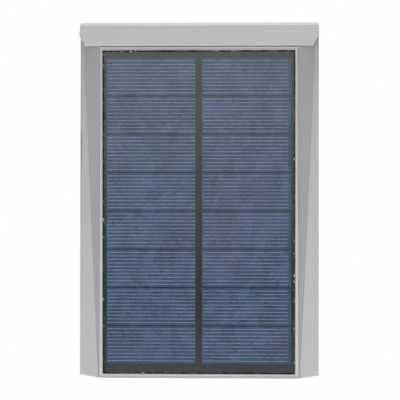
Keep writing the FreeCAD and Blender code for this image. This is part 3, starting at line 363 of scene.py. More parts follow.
def crystal_grains():
    """Shader group: the mosaic of a polycrystalline wafer, as a colour and a grain number."""
    tree, given, result = new_group(
        "crystal_grains", "ShaderNodeTree",
        [("Blue", COLOUR, (0.07, 0.1, 0.18, 1)),
         ("Teal", COLOUR, (0.06, 0.12, 0.16, 1)),
         ("Violet", COLOUR, (0.09, 0.09, 0.18, 1)),
         ("Grain size", NUMBER, 0.005)],
        [("Colour", COLOUR), ("Grain", NUMBER)])
    place = object_place(tree)
    bent = times(tree, clouds(tree, place, scale=260.0, detail=2.0)["Color"], GRAIN_WARP)
    moved = add(tree, "ShaderNodeVectorMath", {0: place, 1: bent}, operation="ADD").outputs[0]
    grains = add(tree, "ShaderNodeTexVoronoi", {
        "Vector": moved, "Scale": lumps_of(tree, given["Grain size"])})
    parts = add(tree, "ShaderNodeSeparateColor", {"Color": grains.outputs["Color"]}).outputs
    drift = clouds(tree, place, scale=28.0, detail=2.0)["Fac"]
    blotches = clouds(tree, moved, scale=48.0, detail=3.0)["Fac"]
    teal = ranged(tree, parts[0], start=0.35, end=1.0, high=0.8)
    violet = ranged(tree, drift, start=0.52, end=0.75, high=0.7)
    cool = blend(tree, teal, given["Blue"], given["Teal"])
    mixed = blend(tree, violet, cool, given["Violet"])
    light = ranged(tree, parts[1], low=0.80, high=1.20)
    shade = ranged(tree, blotches, start=0.35, end=0.62, low=0.88, high=1.07)
    feed(tree, result, Colour=times(tree, mixed, sum_of(tree, "MULTIPLY", light, shade)),
         Grain=parts[2])
    return tree


def resin_haze():
    """Shader group: a painted reflection over the module, warm at its rear and cool at its nose.
    """
    tree, given, result = new_group(
        "resin_haze", "ShaderNodeTree",
        [("Colour", COLOUR, (0.1, 0.1, 0.1, 1)),
         ("Haze", COLOUR, (0.386, 0.377, 0.350, 1)),
         ("Amount", NUMBER, 0.205),
         ("Nose haze", COLOUR, (0.342, 0.387, 0.522, 1)),
         ("Nose amount", NUMBER, 0.065)],
        [("Colour", COLOUR)])
    place = object_place(tree)
    back = add(tree, "ShaderNodeSeparateXYZ", {0: place}).outputs["Y"]
    drift = clouds(tree, place, scale=22.0, detail=3.0)["Fac"]
    wander = sum_of(tree, "MULTIPLY_ADD", drift, REFLECTION_WANDER, back)
    rear = ranged(tree, wander, REFLECTION_FRONT, REFLECTION_REAR, high=given["Amount"])
    nose = ranged(tree, back, REFLECTION_TURN, REFLECTION_NOSE, high=given["Nose amount"])
    warm = blend(tree, rear, given["Colour"], given["Haze"])
    feed(tree, result, Colour=blend(tree, nose, warm, given["Nose haze"]))
    return tree


MOULDED = moulded_surface()
BRUSHED = brushed_lines()
CRYSTAL = crystal_grains()
PAINTED_REFLECTION = resin_haze()


# Materials


def blank(name):
    """A new material with its tree and the shader that it shows."""
    made = bpy.data.materials.new(name)
    made.use_nodes = True
    tree = made.node_tree
    tree.nodes.clear()
    shader = tree.nodes.new("ShaderNodeBsdfPrincipled")
    add(tree, "ShaderNodeOutputMaterial", {"Surface": shader.outputs[0]})
    return made, tree, shader


def show(tree, surface):
    """Makes a material show another surface than its shader's."""
    feed(tree, tree.get_output_node("ALL"), Surface=surface.outputs[0])


def grouped(tree, group, **values):
    """Places a shader group in a material, with its own values."""
    placed = tree.nodes.new("ShaderNodeGroup")
    placed.node_tree = group
    fix(placed, **values)
    return placed


def surfaced(tree, colour, rough, tint=0.04, patch=0.03, grain=0.0005, depth=0.00001,
             spread=0.12):
    """Places the moulded surface in a material."""
    return grouped(tree, MOULDED, Colour=(*colour, 1), Tint=tint, Patch_size=patch,
                   Grain_size=grain, Grain_depth=depth, Roughness=rough,
                   Roughness_spread=spread).outputs


def mosaic(tree, blue, teal, violet):
    """Places the crystals in a material, in three tones."""
    return grouped(tree, CRYSTAL, Blue=(*blue, 1), Teal=(*teal, 1), Violet=(*violet, 1)).outputs


def clad(tree, shader, surface, colour=None):
    """Feeds a shader with a moulded surface, its colour replaced where one is given."""
    if colour is None:
        colour = surface["Colour"]
    feed(tree, shader, Base_Color=colour, Roughness=surface["Roughness"],
         Normal=surface["Normal"])


def with_painted_reflection(tree, colour, **amounts):
    """A colour with the painted reflection over it."""
    haze = grouped(tree, PAINTED_REFLECTION, **amounts)
    feed(tree, haze, Colour=colour)
    return haze.outputs["Colour"]


def moulded(name, colour, rough, fixed=None, **look):
    """A plastic, rubber or painted finish. The values in fixed are the shader's own."""
    made, tree, shader = blank(name)
    clad(tree, shader, surfaced(tree, colour, rough, **look))
    fix(shader, **(fixed or {}))
    return made


def plated(name, colour, rough):
    """Bare or plated metal with fine drawn lines."""
    made, tree, shader = blank(name)
    surface = surfaced(tree, colour, rough, tint=0.06, patch=0.006, grain=0.0003, depth=0.000002,
                       spread=0.2)
    feed(tree, shader, Base_Color=surface["Colour"], Roughness=surface["Roughness"],
         Normal=grouped(tree, BRUSHED).outputs["Normal"])
    fix(shader, Metallic=1.0)
    return made


def clear(name, colour, rough, wave, wave_depth):
    """A clear plastic. Lamps' rays pass straight through, so that they light what is behind."""
    made, tree, shader = blank(name)
    clad(tree, shader, surfaced(tree, colour, rough, tint=0.01, patch=0.02, grain=wave,
                                depth=wave_depth, spread=rough))
    fix(shader, Transmission_Weight=1.0, IOR=1.49)
    path = add(tree, "ShaderNodeLightPath")
    open_side = add(tree, "ShaderNodeBsdfTransparent", {"Color": (*colour, 1)})
    both = add(tree, "ShaderNodeMixShader", {0: path.outputs["Is Shadow Ray"],
                                             1: shader.outputs[0], 2: open_side.outputs[0]})
    show(tree, both)
    return made


def backboard():
    """The dark board behind the cells, seen through the resin."""
    made, tree, shader = blank("laminate_dark")
    surface = surfaced(tree, (0.007, 0.010, 0.012), 0.5, tint=0.16, patch=0.016, grain=0.0009,
                       depth=0.000004, spread=0.1)
    # Painted reflection: the board is lightened, warm towards the rear and cool towards the nose.
    clad(tree, shader, surface, with_painted_reflection(tree, surface["Colour"], Amount=0.22, Nose_amount=0.095))
    fix(shader, Specular_IOR_Level=0.1)
    return made


def silicon():
    """Blue polycrystalline silicon under its dark coating."""
    made, tree, shader = blank("cell_silicon")
    wafer = mosaic(tree, (0.072, 0.117, 0.236), (0.067, 0.130, 0.207), (0.095, 0.108, 0.221))
    # Painted reflection over the wafers, warm towards the rear and cool towards the nose.
    feed(tree, shader, Base_Color=with_painted_reflection(tree, wafer["Colour"]),
         Roughness=ranged(tree, wafer["Grain"], low=0.38, high=0.6))
    fix(shader, Specular_IOR_Level=0.1)
    return made


def printed_silver():
    """The silver paste of the fingers, worn through to the wafer in places."""
    made, tree, shader = blank("printed_silver")
    surface = surfaced(tree, (0.351, 0.427, 0.560), 0.5, tint=0.16, patch=0.012, grain=0.0011,
                       depth=0.000004, spread=0.1)
    print_run = clouds(tree, object_place(tree), scale=420.0, detail=2.0)["Fac"]
    bare = mosaic(tree, (0.162, 0.228, 0.361), (0.152, 0.237, 0.332), (0.190, 0.218, 0.342))
    inked = ranged(tree, print_run, start=0.28, end=0.52)
    colour = blend(tree, inked, bare["Colour"], surface["Colour"])
    # Painted reflection over the fingers, as over the wafers.
    clad(tree, shader, surface, with_painted_reflection(tree, colour))
    return made


def adhesive():
    """Adhesive, near black as painted shade in the gap, with cream specks, brown at the right,
    cream near the nose.
    """
    made, tree, shader = blank("adhesive")
    # The near-black base is painted shade: it darkens the gap round the module as a shadow would.
    shade_black = surfaced(tree, (0.012, 0.011, 0.010), 0.5, tint=0.5, patch=0.006, grain=0.0012,
                    depth=0.00004, spread=0.2)
    place = object_place(tree)
    axes = add(tree, "ShaderNodeSeparateXYZ", {0: place}).outputs
    lumps = clouds(tree, place, scale=150.0, detail=2.0)["Fac"]
    drops = clouds(tree, place, scale=320.0, detail=1.0)["Fac"]
    thick = ranged(tree, lumps, start=0.36, end=0.50)
    right = ranged(tree, axes["X"], SMEAR_ASIDE - MERGE, SMEAR_ASIDE + MERGE)
    nose = ranged(tree, axes["Y"], SMEAR_CREAM, SMEAR_CREAM - SMEAR_FADE)
    tone = blend(tree, nose, (0.115, 0.105, 0.085, 1), (0.42, 0.40, 0.30, 1))
    smeared = blend(tree, sum_of(tree, "MULTIPLY", right, thick), shade_black["Colour"], tone)
    speck = ranged(tree, drops, start=0.64, end=0.70)
    clad(tree, shader, shade_black, blend(tree, speck, smeared, (0.48, 0.47, 0.40, 1)))
    fix(shader, Specular_IOR_Level=0.2)
    return made


def two_leads(name, middle):
    """The insulation of a pair of leads, red on one side of the middle and black on the other."""
    made, tree, shader = blank(name)
    black, red = (surfaced(tree, colour, 0.45, tint=0.05, patch=0.004, grain=0.0004,
                           depth=0.000004, spread=0.1)
                  for colour in ((0.02, 0.02, 0.02), (0.45, 0.02, 0.02)))
    along = add(tree, "ShaderNodeSeparateXYZ", {0: object_place(tree)}).outputs["X"]
    side = sum_of(tree, "GREATER_THAN", along, middle)
    clad(tree, shader, black, blend(tree, side, black["Colour"], red["Colour"]))
    return made


FINISHES = {
    "silver_casing": moulded("silver_casing", (0.574, 0.572, 0.570), 0.54, {"Metallic": 0.35},
                             tint=0.018, patch=0.05, grain=0.0006, depth=0.000012, spread=0.08),
    "plate_grey": moulded("plate_grey", (0.5, 0.5, 0.5), 0.45, tint=0.02, grain=0.0011,
                          depth=0.00002),
    "rubber_black": moulded("rubber_black", (0.02, 0.02, 0.021), 0.75, grain=0.0007),
    "bond_dark": moulded("bond_dark", (0.02, 0.019, 0.017), 0.35, tint=0.3, patch=0.004),
    "adhesive": adhesive(),
    "laminate_dark": backboard(),
    "silicon": silicon(),
    "printed_silver": printed_silver(),
    "clear_laminate": clear("clear_laminate", (0.97, 0.985, 0.985), 0.04, 0.012, 0.00001),
    "zinc_screw": plated("zinc_screw", (0.52, 0.52, 0.54), 0.34),
    "clear_lens": clear("clear_lens", (0.97, 0.98, 0.98), 0.03, 0.01, 0.000004),
    "reflector_white": moulded("reflector_white", (0.8, 0.8, 0.79), 0.22, tint=0.01,
                               grain=0.002, depth=0.000004),
    "board_white": moulded("board_white", (0.75, 0.75, 0.73), 0.4, tint=0.03),
    "led_package": moulded("led_package", (0.78, 0.77, 0.73), 0.35, tint=0.03),
    "phosphor": moulded("phosphor", (0.80, 0.60, 0.10), 0.3, tint=0.08, patch=0.002),
    "milky_dome": moulded("milky_dome", (0.78, 0.78, 0.77), 0.38,
                          {"Subsurface_Weight": 0.5, "Subsurface_Scale": 0.004,
                           "Transmission_Weight": 0.08},
                          tint=0.012, grain=0.0009, depth=0.000004),
    "black_moulding": moulded("black_moulding", (0.018, 0.018, 0.019), 0.5),
    "button_rubber": moulded("button_rubber", (0.045, 0.045, 0.048), 0.6, grain=0.0004),
    "clear_pipe": clear("clear_pipe", (0.95, 0.96, 0.96), 0.12, 0.004, 0.000004),
    "red_epoxy": moulded("red_epoxy", (0.45, 0.02, 0.015), 0.2),
    "green_board": moulded("green_board", (0.015, 0.09, 0.035), 0.35, tint=0.12, patch=0.003,
                           grain=0.0011, depth=0.000015),
    "chip_black": moulded("chip_black", (0.02, 0.02, 0.021), 0.6, grain=0.0003),
    "capacitor_sleeve": moulded("capacitor_sleeve", (0.02, 0.025, 0.06), 0.28),
    "ivory_nylon": moulded("ivory_nylon", (0.74, 0.70, 0.58), 0.5),
    "nickel": plated("nickel", (0.62, 0.60, 0.56), 0.3),
    "battery_sleeve": moulded("battery_sleeve", (0.03, 0.22, 0.30), 0.25, tint=0.06, patch=0.02),
    "panel_pair": two_leads("panel_pair", LEAD_ASIDE),
    "battery_pair": two_leads("battery_pair", -LEAD_ASIDE),
    "light_pair": two_leads("light_pair", 0.0),
}

# What each node that stays as it was built is finished with.
NODE_FINISH = {
    "housing_gasket": "rubber_black", "lens_gasket": "rubber_black", "panel_bond": "bond_dark",
    "panel_backboard": "laminate_dark", "solar_cells": "silicon",
    "led_reflector": "reflector_white", "led_board": "board_white", "leds": "led_package",
    "pir_retainer": "black_moulding", "pir_sensor": "nickel", "control_board": "green_board",
    "control_chips": "chip_black", "capacitors": "capacitor_sleeve", "inductor": "chip_black",
    "board_sockets": "ivory_nylon", "board_screws": "zinc_screw",
    "switch_body": "black_moulding", "switch_plunger": "button_rubber",
    "indicator_led": "red_epoxy", "battery_holder": "black_moulding",
    "battery_cells": "battery_sleeve", "battery_contacts": "nickel",
    "battery_strap": "black_moulding", "panel_leads": "panel_pair",
    "battery_leads": "battery_pair", "led_leads": "light_pair",
}


# Meshes and pieces


def dress(target, finish):
    """Gives an object one finish all over."""
    target.data.materials.clear()
    target.data.materials.append(FINISHES[finish])


def linked(name, data):
    """A new object in the scene, at the origin."""
    made = bpy.data.objects.new(name, data)
    bpy.context.scene.collection.objects.link(made)
    return made


def piece(name, mesh, body, finish, replaced=()):
    """Links a finished mesh as a piece of the lamp that rides on a body."""
    made = linked(name, mesh)
    dress(made, finish)
    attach(made, body)
    if replaced:
        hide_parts(*replaced)


def evaluated(source):
    """The plain mesh that an object's modifiers make. The object itself is removed."""
    bpy.context.view_layer.update()
    shown = source.evaluated_get(bpy.context.evaluated_depsgraph_get())
    mesh = bpy.data.meshes.new_from_object(shown)
    bpy.data.objects.remove(source)
    return mesh


def smooth(mesh):
    """Shades a mesh smooth, but for its sharp edges."""
    mesh.shade_smooth()
    mesh.set_sharp_from_angle(angle=SMOOTH_ANGLE)


def rounded(mesh, width, room=0.0):
    """Rounds a mesh's outer edges. Its inner corners stay crisp and flat faces keep their normals.

    An edge that meets another one shorter than room stays sharp, because it would hold every
    other edge back to its own small radius.
    """
    mesh.shade_smooth()
    shape = bmesh.new()
    shape.from_mesh(mesh)
    weight = shape.edges.layers.float.new("bevel_weight_edge")
    for edge in shape.edges:
        turn = edge.calc_face_angle_signed(0.0)
        shortest = min(side.calc_length() for corner in edge.verts for side in corner.link_edges)
        soft = turn > SHARP_ANGLE and shortest >= room
        edge[weight] = 1.0 if soft else 0.0
        edge.smooth = soft or -SHARP_ANGLE < turn < SMOOTH_ANGLE
    shape.to_mesh(mesh)
    shape.free()
    holder = linked(mesh.name, mesh)
    bevel = holder.modifiers.new("edge", "BEVEL")
    bevel.width = width
    bevel.segments = EDGE_SEGMENTS
    bevel.limit_method = "WEIGHT"
    bevel.use_clamp_overlap = True
    bevel.harden_normals = True
    return evaluated(holder)


def softened(node, width, room):
    """A copy of a node's mesh with its flat faces joined and its outer edges rounded."""
    shape = bmesh.new()
    shape.from_mesh(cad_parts[node].data)
    bmesh.ops.remove_doubles(shape, verts=shape.verts, dist=MERGE)
    bmesh.ops.dissolve_limit(shape, angle_limit=FLAT_ANGLE, verts=shape.verts, edges=shape.edges)
    shape.verts.index_update()
    corners = [vertex.co[:] for vertex in shape.verts]
    faces = [[vertex.index for vertex in face.verts] for face in shape.faces]
    shape.free()
    return rounded(from_faces(node + "_soft", corners, faces), width, room)


def from_faces(name, corners, faces, place=Matrix.Identity(4)):
    """A mesh from its corners, in a frame of the lamp, and its faces."""
    mesh = bpy.data.meshes.new(name)
    mesh.from_pydata([place @ Vector(corner) for corner in corners], [], faces)
    mesh.update()
    return mesh


def turned(profile, steps):
    """Turns an open profile of (radius, height) round Z. Ends on the axis are single points."""
    corners, faces, rings = [], [], []
    for radius, height in profile:
        if radius == 0:
            rings.append([len(corners)] * steps)
            corners.append((0, 0, height))
            continue
        rings.append(list(range(len(corners), len(corners) + steps)))
        for k in range(steps):
            angle = math.tau * k / steps
            corners.append(Vector((radius * math.cos(angle), radius * math.sin(angle), height)))
    for ring, above in zip(rings, rings[1:]):
        for k in range(steps):
            face = [ring[k], ring[(k + 1) % steps], above[(k + 1) % steps], above[k]]
            faces.append(list(dict.fromkeys(face)))
    return corners, faces


def on_axis(place, low, high):
    """A frame moved along its Y to the middle between two corners."""
    return place @ Matrix.Translation((0, (low.y + high.y) / 2, 0))


# Geometry trees


def tree_start(name, inputs):
    """A geometry tree with its named sizes, and its last node ready to be joined."""
    return new_group(name, "GeometryNodeTree", inputs, [("Geometry", SHAPE)])


def tree_end(tree, result, shape, offset, place, finish):
    """Moves the made shape, stands it in a frame, makes it real and gives it its finish."""
    moved = add(tree, "GeometryNodeTransform", {"Geometry": shape, "Translation": offset})
    stood = add(tree, "GeometryNodeTransform", {
        "Geometry": moved.outputs[0], "Translation": place.to_translation(),
        "Rotation": place.to_euler()})
    real = add(tree, "GeometryNodeRealizeInstances", {"Geometry": stood.outputs[0]})
    coated = add(tree, "GeometryNodeSetMaterial", {"Geometry": real.outputs[0],
                                                   "Material": FINISHES[finish]})
    feed(tree, result, Geometry=coated.outputs[0])
    return tree


def tree_piece(name, tree, values, finish):
    """Runs a geometry tree with its named sizes and returns the mesh that it makes."""
    holder = linked(name, bpy.data.meshes.new(name))
    dress(holder, finish)
    runner = holder.modifiers.new("tree", "NODES")
    runner.node_group = tree
    for item in tree.interface.items_tree:
        if item.item_type == "SOCKET" and item.in_out == "INPUT":
            runner[item.identifier] = values[item.name]
    return evaluated(holder)


def grid_points(tree, across, along, columns, rows):
    """The points of a grid, with the first and the last on its edges."""
    return add(tree, "GeometryNodeMeshGrid", {
        "Size X": across, "Size Y": along, "Vertices X": columns, "Vertices Y": rows}).outputs[0]


def row_of(tree, shape, count, pitch):
    """Instances of a shape in a row, from its place on towards the nose."""
    step = vector(tree, y=sum_of(tree, "MULTIPLY", pitch, -1.0))
    line = add(tree, "GeometryNodeMeshLine", {"Count": count, "Offset": step})
    return add(tree, "GeometryNodeInstanceOnPoints",
               {"Points": line.outputs[0], "Instance": shape}).outputs[0]


def finger_tree():
    """Geometry tree: the printed fingers of one column of cells."""
    tree, given, result = tree_start("printed_fingers", [
        ("Length", NUMBER), ("Width", NUMBER), ("Thickness", NUMBER), ("Fingers", COUNT),
        ("Finger pitch", NUMBER), ("Rows", COUNT), ("Row pitch", NUMBER), ("First", VECTOR)])
    size = vector(tree, given["Length"], given["Width"], given["Thickness"])
    strip = add(tree, "GeometryNodeMeshCube", {"Size": size})
    fingers = row_of(tree, strip.outputs["Mesh"], given["Fingers"], given["Finger pitch"])
    rows = row_of(tree, fingers, given["Rows"], given["Row pitch"])
    return tree_end(tree, result, rows, given["First"], LID, "printed_silver")


def make_fingers():
    """The fingers of both columns. On the right they stop short of the cells' outer edge."""
    tree = finger_tree()
    cell_top = -(GLASS_DOWN + GLASS_THICK) + FINGER_THICK / 2
    spare = (CELL_HEIGHT - (FINGERS - 1) * FINGER_PITCH) / 2
    rear = -(MODULE_REAR + TOP_MARGIN + spare)
    for name, side, short in (("cell_fingers_left", -1, 0.0),
                              ("cell_fingers_right", 1, FINGER_SHORT)):
        middle = side * (CELL_WIDTH + COLUMN_GAP) / 2 - short / 2
        mesh = tree_piece(name, tree, {
            "Length": CELL_WIDTH - short - 2 * FINGER_WIDTH, "Width": FINGER_WIDTH,
            "Thickness": FINGER_THICK, "Fingers": FINGERS, "Finger pitch": FINGER_PITCH,
            "Rows": CELL_ROWS, "Row pitch": CELL_HEIGHT + ROW_GAP,
            "First": (middle, rear, cell_top)}, "printed_silver")
        piece(name, mesh, "lamp", "printed_silver")


def make_laminate():
    """The clear laminate, which takes in the cells' upper faces and has softly worn edges."""
    low, high = span("panel_resin", LID)
    low.z -= GLASS_SINK
    corners = [(x, y, z) for z in (low.z, high.z) for x, y in
               ((low.x, low.y), (high.x, low.y), (high.x, high.y), (low.x, high.y))]
    faces = [(3, 2, 1, 0), (4, 5, 6, 7), (0, 1, 5, 4), (1, 2, 6, 5), (2, 3, 7, 6), (3, 0, 4, 7)]
    mesh = rounded(from_faces("laminate", corners, faces, LID), GLASS_THICK / 4)
    piece("laminate", mesh, "lamp", "clear_laminate", ["panel_resin"])


def bead_tree():
    """Geometry tree: an uneven bead that follows the gap round the module: adhesive and painted
    shade.
    """
    tree, given, result = tree_start("adhesive_bead", [
        ("Width", NUMBER), ("Length", NUMBER), ("Radius", NUMBER), ("Wander", NUMBER),
        ("Centre", VECTOR)])
    ring = add(tree, "GeometryNodeCurvePrimitiveQuadrilateral",
               {"Width": given["Width"], "Height": given["Length"]})
    fine = add(tree, "GeometryNodeResampleCurve", {"Curve": ring.outputs[0],
                                                   "Count": BEAD_POINTS})
    lumps = clouds(tree, add(tree, "GeometryNodeInputPosition").outputs[0], BEAD_LUMPS, detail=3.0)
    centred = add(tree, "ShaderNodeVectorMath", {0: lumps["Color"], 1: (0.5, 0.5, 0.5)},
                  operation="SUBTRACT")
    bent = add(tree, "GeometryNodeSetPosition", {
        "Geometry": fine.outputs[0], "Offset": times(tree, centred.outputs[0], given["Wander"])})
    swell = ranged(tree, lumps["Fac"], start=0.35, end=0.68, low=BEAD_THIN, high=BEAD_THICK)
    outline = add(tree, "GeometryNodeCurvePrimitiveCircle", {"Resolution": BEAD_SIDES,
                                                             "Radius": 1.0})
    tube = add(tree, "GeometryNodeCurveToMesh", {
        "Curve": bent.outputs[0], "Profile Curve": outline.outputs[0],
        "Scale": sum_of(tree, "MULTIPLY", given["Radius"], swell)})
    return tree_end(tree, result, tube.outputs[0], given["Centre"], LID, "adhesive")


def make_bead():
    """The adhesive come up between the module and the lid, near black as the gap's painted shade.
    """
    low, high = span("panel_resin", LID)
    across, along = high.x - low.x, high.y - low.y
    mesh = tree_piece("adhesive_bead", bead_tree(), {
        "Width": across + GAP_WIDTH, "Length": along + GAP_WIDTH, "Radius": BEAD_RADIUS,
        "Wander": BEAD_WANDER, "Centre": (0, (low.y + high.y) / 2, -BEAD_DOWN)}, "adhesive")
    smooth(mesh)
    piece("adhesive_bead", mesh, "lamp", "adhesive")


def screw_shape():
    """A pan-head screw along +Z with its seat at z = 0, a cross recess and raised threads."""
    rim = SCREW_HEAD * HEAD_RIM
    shank = SCREW_GRIP - SCREW_RADIUS
    thread = SCREW_RADIUS * THREAD_STEP
    profile = [(0, SCREW_GRIP), (SCREW_RADIUS * SCREW_TIP, SCREW_GRIP), (SCREW_RADIUS, shank)]
    for k in range(int(shank / thread / 2)):
        level = shank - 2 * k * thread
        profile += [(SCREW_RADIUS * THREAD_ROOT, level - thread),
                    (SCREW_RADIUS, level - 2 * thread)]
    profile += [(SCREW_RADIUS, 0), (SCREW_HEAD_RADIUS, 0), (SCREW_HEAD_RADIUS, -rim)]
    for k in range(1, SCREW_CAP_STEPS):
        turn = math.pi / 2 * k / SCREW_CAP_STEPS
        profile.append((SCREW_HEAD_RADIUS * math.cos(turn),
                        -rim - (SCREW_HEAD - rim) * math.sin(turn)))
    profile.append((0, -SCREW_HEAD))
    corners, faces = turned(list(reversed(profile)), SCREW_AROUND)
    arm = SCREW_HEAD_RADIUS * CROSS_ARM
    blade = SCREW_HEAD_RADIUS * CROSS_BLADE
    sunk = []
    for x, y, z in corners:
        along, across = max(abs(x), abs(y)), min(abs(x), abs(y))
        if z < -rim and across < blade and along < arm:
            z += SCREW_HEAD * CROSS_DEPTH * (1 - (along / arm) ** 4)
        sunk.append((x, y, z))
    return from_faces("casing_screw", sunk, faces)


def screw_tree(screw):
    """Geometry tree: the same screw on the four corners of a rectangle, each turned at random."""
    tree, given, result = tree_start("screws_on_corners", [
        ("Across", NUMBER), ("Along", NUMBER), ("Centre", VECTOR)])
    shape = add(tree, "GeometryNodeObjectInfo", {"Object": screw, "As Instance": True})
    spin = add(tree, "FunctionNodeRandomValue", {2: 0.0, 3: math.tau, "Seed": SCREW_SEED},
               data_type="FLOAT")
    placed = add(tree, "GeometryNodeInstanceOnPoints", {
        "Points": grid_points(tree, given["Across"], given["Along"], 2, 2),
        "Instance": shape.outputs["Geometry"],
        "Rotation": vector(tree, z=spin.outputs["Value"])})
    return tree_end(tree, result, placed.outputs[0], given["Centre"], LID, "zinc_screw")


def make_screws():
    """The casing screws in their wells."""
    screw = bpy.data.objects.new("casing_screw", screw_shape())
    low, high = span("housing_screws", LID)
    mesh = tree_piece("casing_screws", screw_tree(screw), {
        "Across": high.x - low.x - 2 * SCREW_HEAD_RADIUS,
        "Along": high.y - low.y - 2 * SCREW_HEAD_RADIUS,
        "Centre": (0, (low.y + high.y) / 2, low.z + SCREW_HEAD)}, "zinc_screw")
    smooth(mesh)
    bpy.data.objects.remove(screw)
    piece("casing_screws", mesh, "lamp", "zinc_screw", ["housing_screws"])


def make_lens():
    """The light's clear lens: a flanged tray with a pillow lenslet over each diode."""
    low, high = span("light_lens", SHELL)
    lens_width, lens_length = high.x - low.x, high.y - low.y
    window_width = lens_width - 2 * LENS_FLANGE
    window_length = lens_length - 2 * LENS_FLANGE
    inner_width = window_width - 2 * LENS_WALL
    inner_length = window_length - 2 * LENS_WALL
    flange_low = high.z - LENS_FLANGE_THICK
    tray = low.z + LENS_WALL
    last_i, last_j = LENS_STEPS_ACROSS, LENS_STEPS_ALONG
    corners, faces = [], []

    def swell(along, length, count):
        return abs(math.cos(math.pi * along / (length / count)
                            - math.pi / 2 * ((count + 1) % 2)))

    def ring(width, length, height):
        first = len(corners)
        for x, y in ((-1, -1), (1, -1), (1, 1), (-1, 1)):
            corners.append((x * width / 2, y * length / 2, height))
        return list(range(first, first + 4))

    rings = [
        ring(window_width, window_length, low.z),
        ring(window_width, window_length, flange_low),
        ring(lens_width, lens_length, flange_low),
        ring(lens_width, lens_length, high.z),
        ring(inner_width, inner_length, high.z),
    ]
    faces.append(list(reversed(rings[0])))
    for ring_low, ring_high in zip(rings, rings[1:]):
        for k in range(4):
            after = (k + 1) % 4
            faces.append([ring_low[k], ring_low[after], ring_high[after], ring_high[k]])

    first = len(corners)
    for j in range(last_j + 1):
        for i in range(last_i + 1):
            x = inner_width * (i / last_i - 0.5)
            y = inner_length * (j / last_j - 0.5)
            pillow = LENSLET_RISE * swell(x, window_width, LED_COLUMNS) \
                * swell(y, window_length, LED_ROWS)
            edge = i in (0, last_i) or j in (0, last_j)
            corners.append((x, y, tray if edge else tray + pillow))

    def grid_corner(i, j):
        return first + j * (last_i + 1) + i

    for j in range(last_j):
        for i in range(last_i):
            faces.append([grid_corner(i, j), grid_corner(i + 1, j), grid_corner(i + 1, j + 1),
                          grid_corner(i, j + 1)])
    sides = [
        [grid_corner(i, 0) for i in range(last_i + 1)],
        [grid_corner(last_i, j) for j in range(last_j + 1)],
        [grid_corner(last_i - i, last_j) for i in range(last_i + 1)],
        [grid_corner(0, last_j - j) for j in range(last_j + 1)],
    ]
    top = rings[-1]
    for k, side in enumerate(sides):
        faces.append([top[k], top[(k + 1) % 4]] + list(reversed(side)))
    mesh = from_faces("window_lens", corners, faces, on_axis(SHELL, low, high))
    smooth(mesh)
    piece("window_lens", mesh, "lamp", "clear_lens", ["light_lens"])


def phosphor_tree():
    """Geometry tree: a flat round drop of phosphor on each diode."""
    tree, given, result = tree_start("phosphor_drops", [
        ("Columns", COUNT), ("Rows", COUNT), ("Across", NUMBER), ("Along", NUMBER),
        ("Radius", NUMBER), ("Thickness", NUMBER), ("Centre", VECTOR)])
    drop = add(tree, "GeometryNodeMeshCylinder", {
        "Vertices": PHOSPHOR_AROUND, "Radius": given["Radius"], "Depth": given["Thickness"]})
    spots = grid_points(tree, given["Across"], given["Along"], given["Columns"], given["Rows"])
    placed = add(tree, "GeometryNodeInstanceOnPoints", {"Points": spots,
                                                        "Instance": drop.outputs["Mesh"]})
    return tree_end(tree, result, placed.outputs[0], given["Centre"], SHELL, "phosphor")


def make_phosphor():
    """The yellow drops on the diodes."""
    low, high = span("leds", SHELL)
    mesh = tree_piece("phosphor_drops", phosphor_tree(), {
        "Columns": LED_COLUMNS, "Rows": LED_ROWS, "Across": high.x - low.x - LED_WIDTH,
        "Along": high.y - low.y - LED_DEPTH, "Radius": PHOSPHOR_RADIUS,
        "Thickness": PHOSPHOR_THICK, "Centre": (0, (low.y + high.y) / 2, low.z)}, "phosphor")
    piece("phosphor_drops", mesh, "lamp", "phosphor")


def bulge(corner):
    """Sinks a corner of the dome's outer surface where it lies on a line between facets."""
    reach = corner.length
    polar = math.degrees(math.acos(max(-1.0, min(1.0, -corner.z / reach))))
    angle = math.atan2(corner.y, corner.x) % math.tau
    for low, high, count in DOME_FACETS:
        if low <= polar < high:
            across = 1 - abs(2 * (polar - low) / (high - low) - 1) if low else \
                1 - max(0.0, 2 * polar / high - 1)
            turn = angle / math.tau * count % 1
            along = 1 - abs(2 * turn - 1) if count > 1 else 1.0
            edge = min(1.0, min(across, along) / FACET_EDGE)
            rise = edge * edge * (3 - 2 * edge)
            return corner * (1 - FACET_GROOVE * (1 - rise) / reach)
    return corner


def make_dome():
    """The sensor's milky lens: rings of slightly bulged facets on a dome, with its flange."""
    flange = DOME_RADIUS + DOME_FLANGE
    inner = DOME_RADIUS - DOME_WALL
    profile = [(0, -DOME_RADIUS)]
    for k in range(1, DOME_OUTER_STEPS + 1):
        turn = math.pi / 2 * k / DOME_OUTER_STEPS
        profile.append((DOME_RADIUS * math.sin(turn), -DOME_RADIUS * math.cos(turn)))
    profile += [(DOME_RADIUS, DOME_FLANGE_LOW), (flange, DOME_FLANGE_LOW),
                (flange, DOME_FLANGE_TOP), (inner, DOME_FLANGE_TOP)]
    for k in range(DOME_INNER_STEPS):
        turn = math.pi / 2 * (1 - k / DOME_INNER_STEPS)
        profile.append((inner * math.sin(turn), -inner * math.cos(turn)))
    profile.append((0, -inner))
    corners, faces = turned(profile, DOME_AROUND)
    outer = 1 + DOME_AROUND * DOME_OUTER_STEPS
    corners = [bulge(Vector(corner)) if k < outer else corner for k, corner in enumerate(corners)]
    low, high = span("pir_lens", SHELL)
    mesh = from_faces("sensor_dome", corners, faces, on_axis(SHELL, low, high))
    smooth(mesh)
    piece("sensor_dome", mesh, "lamp", "milky_dome", ["pir_lens"])


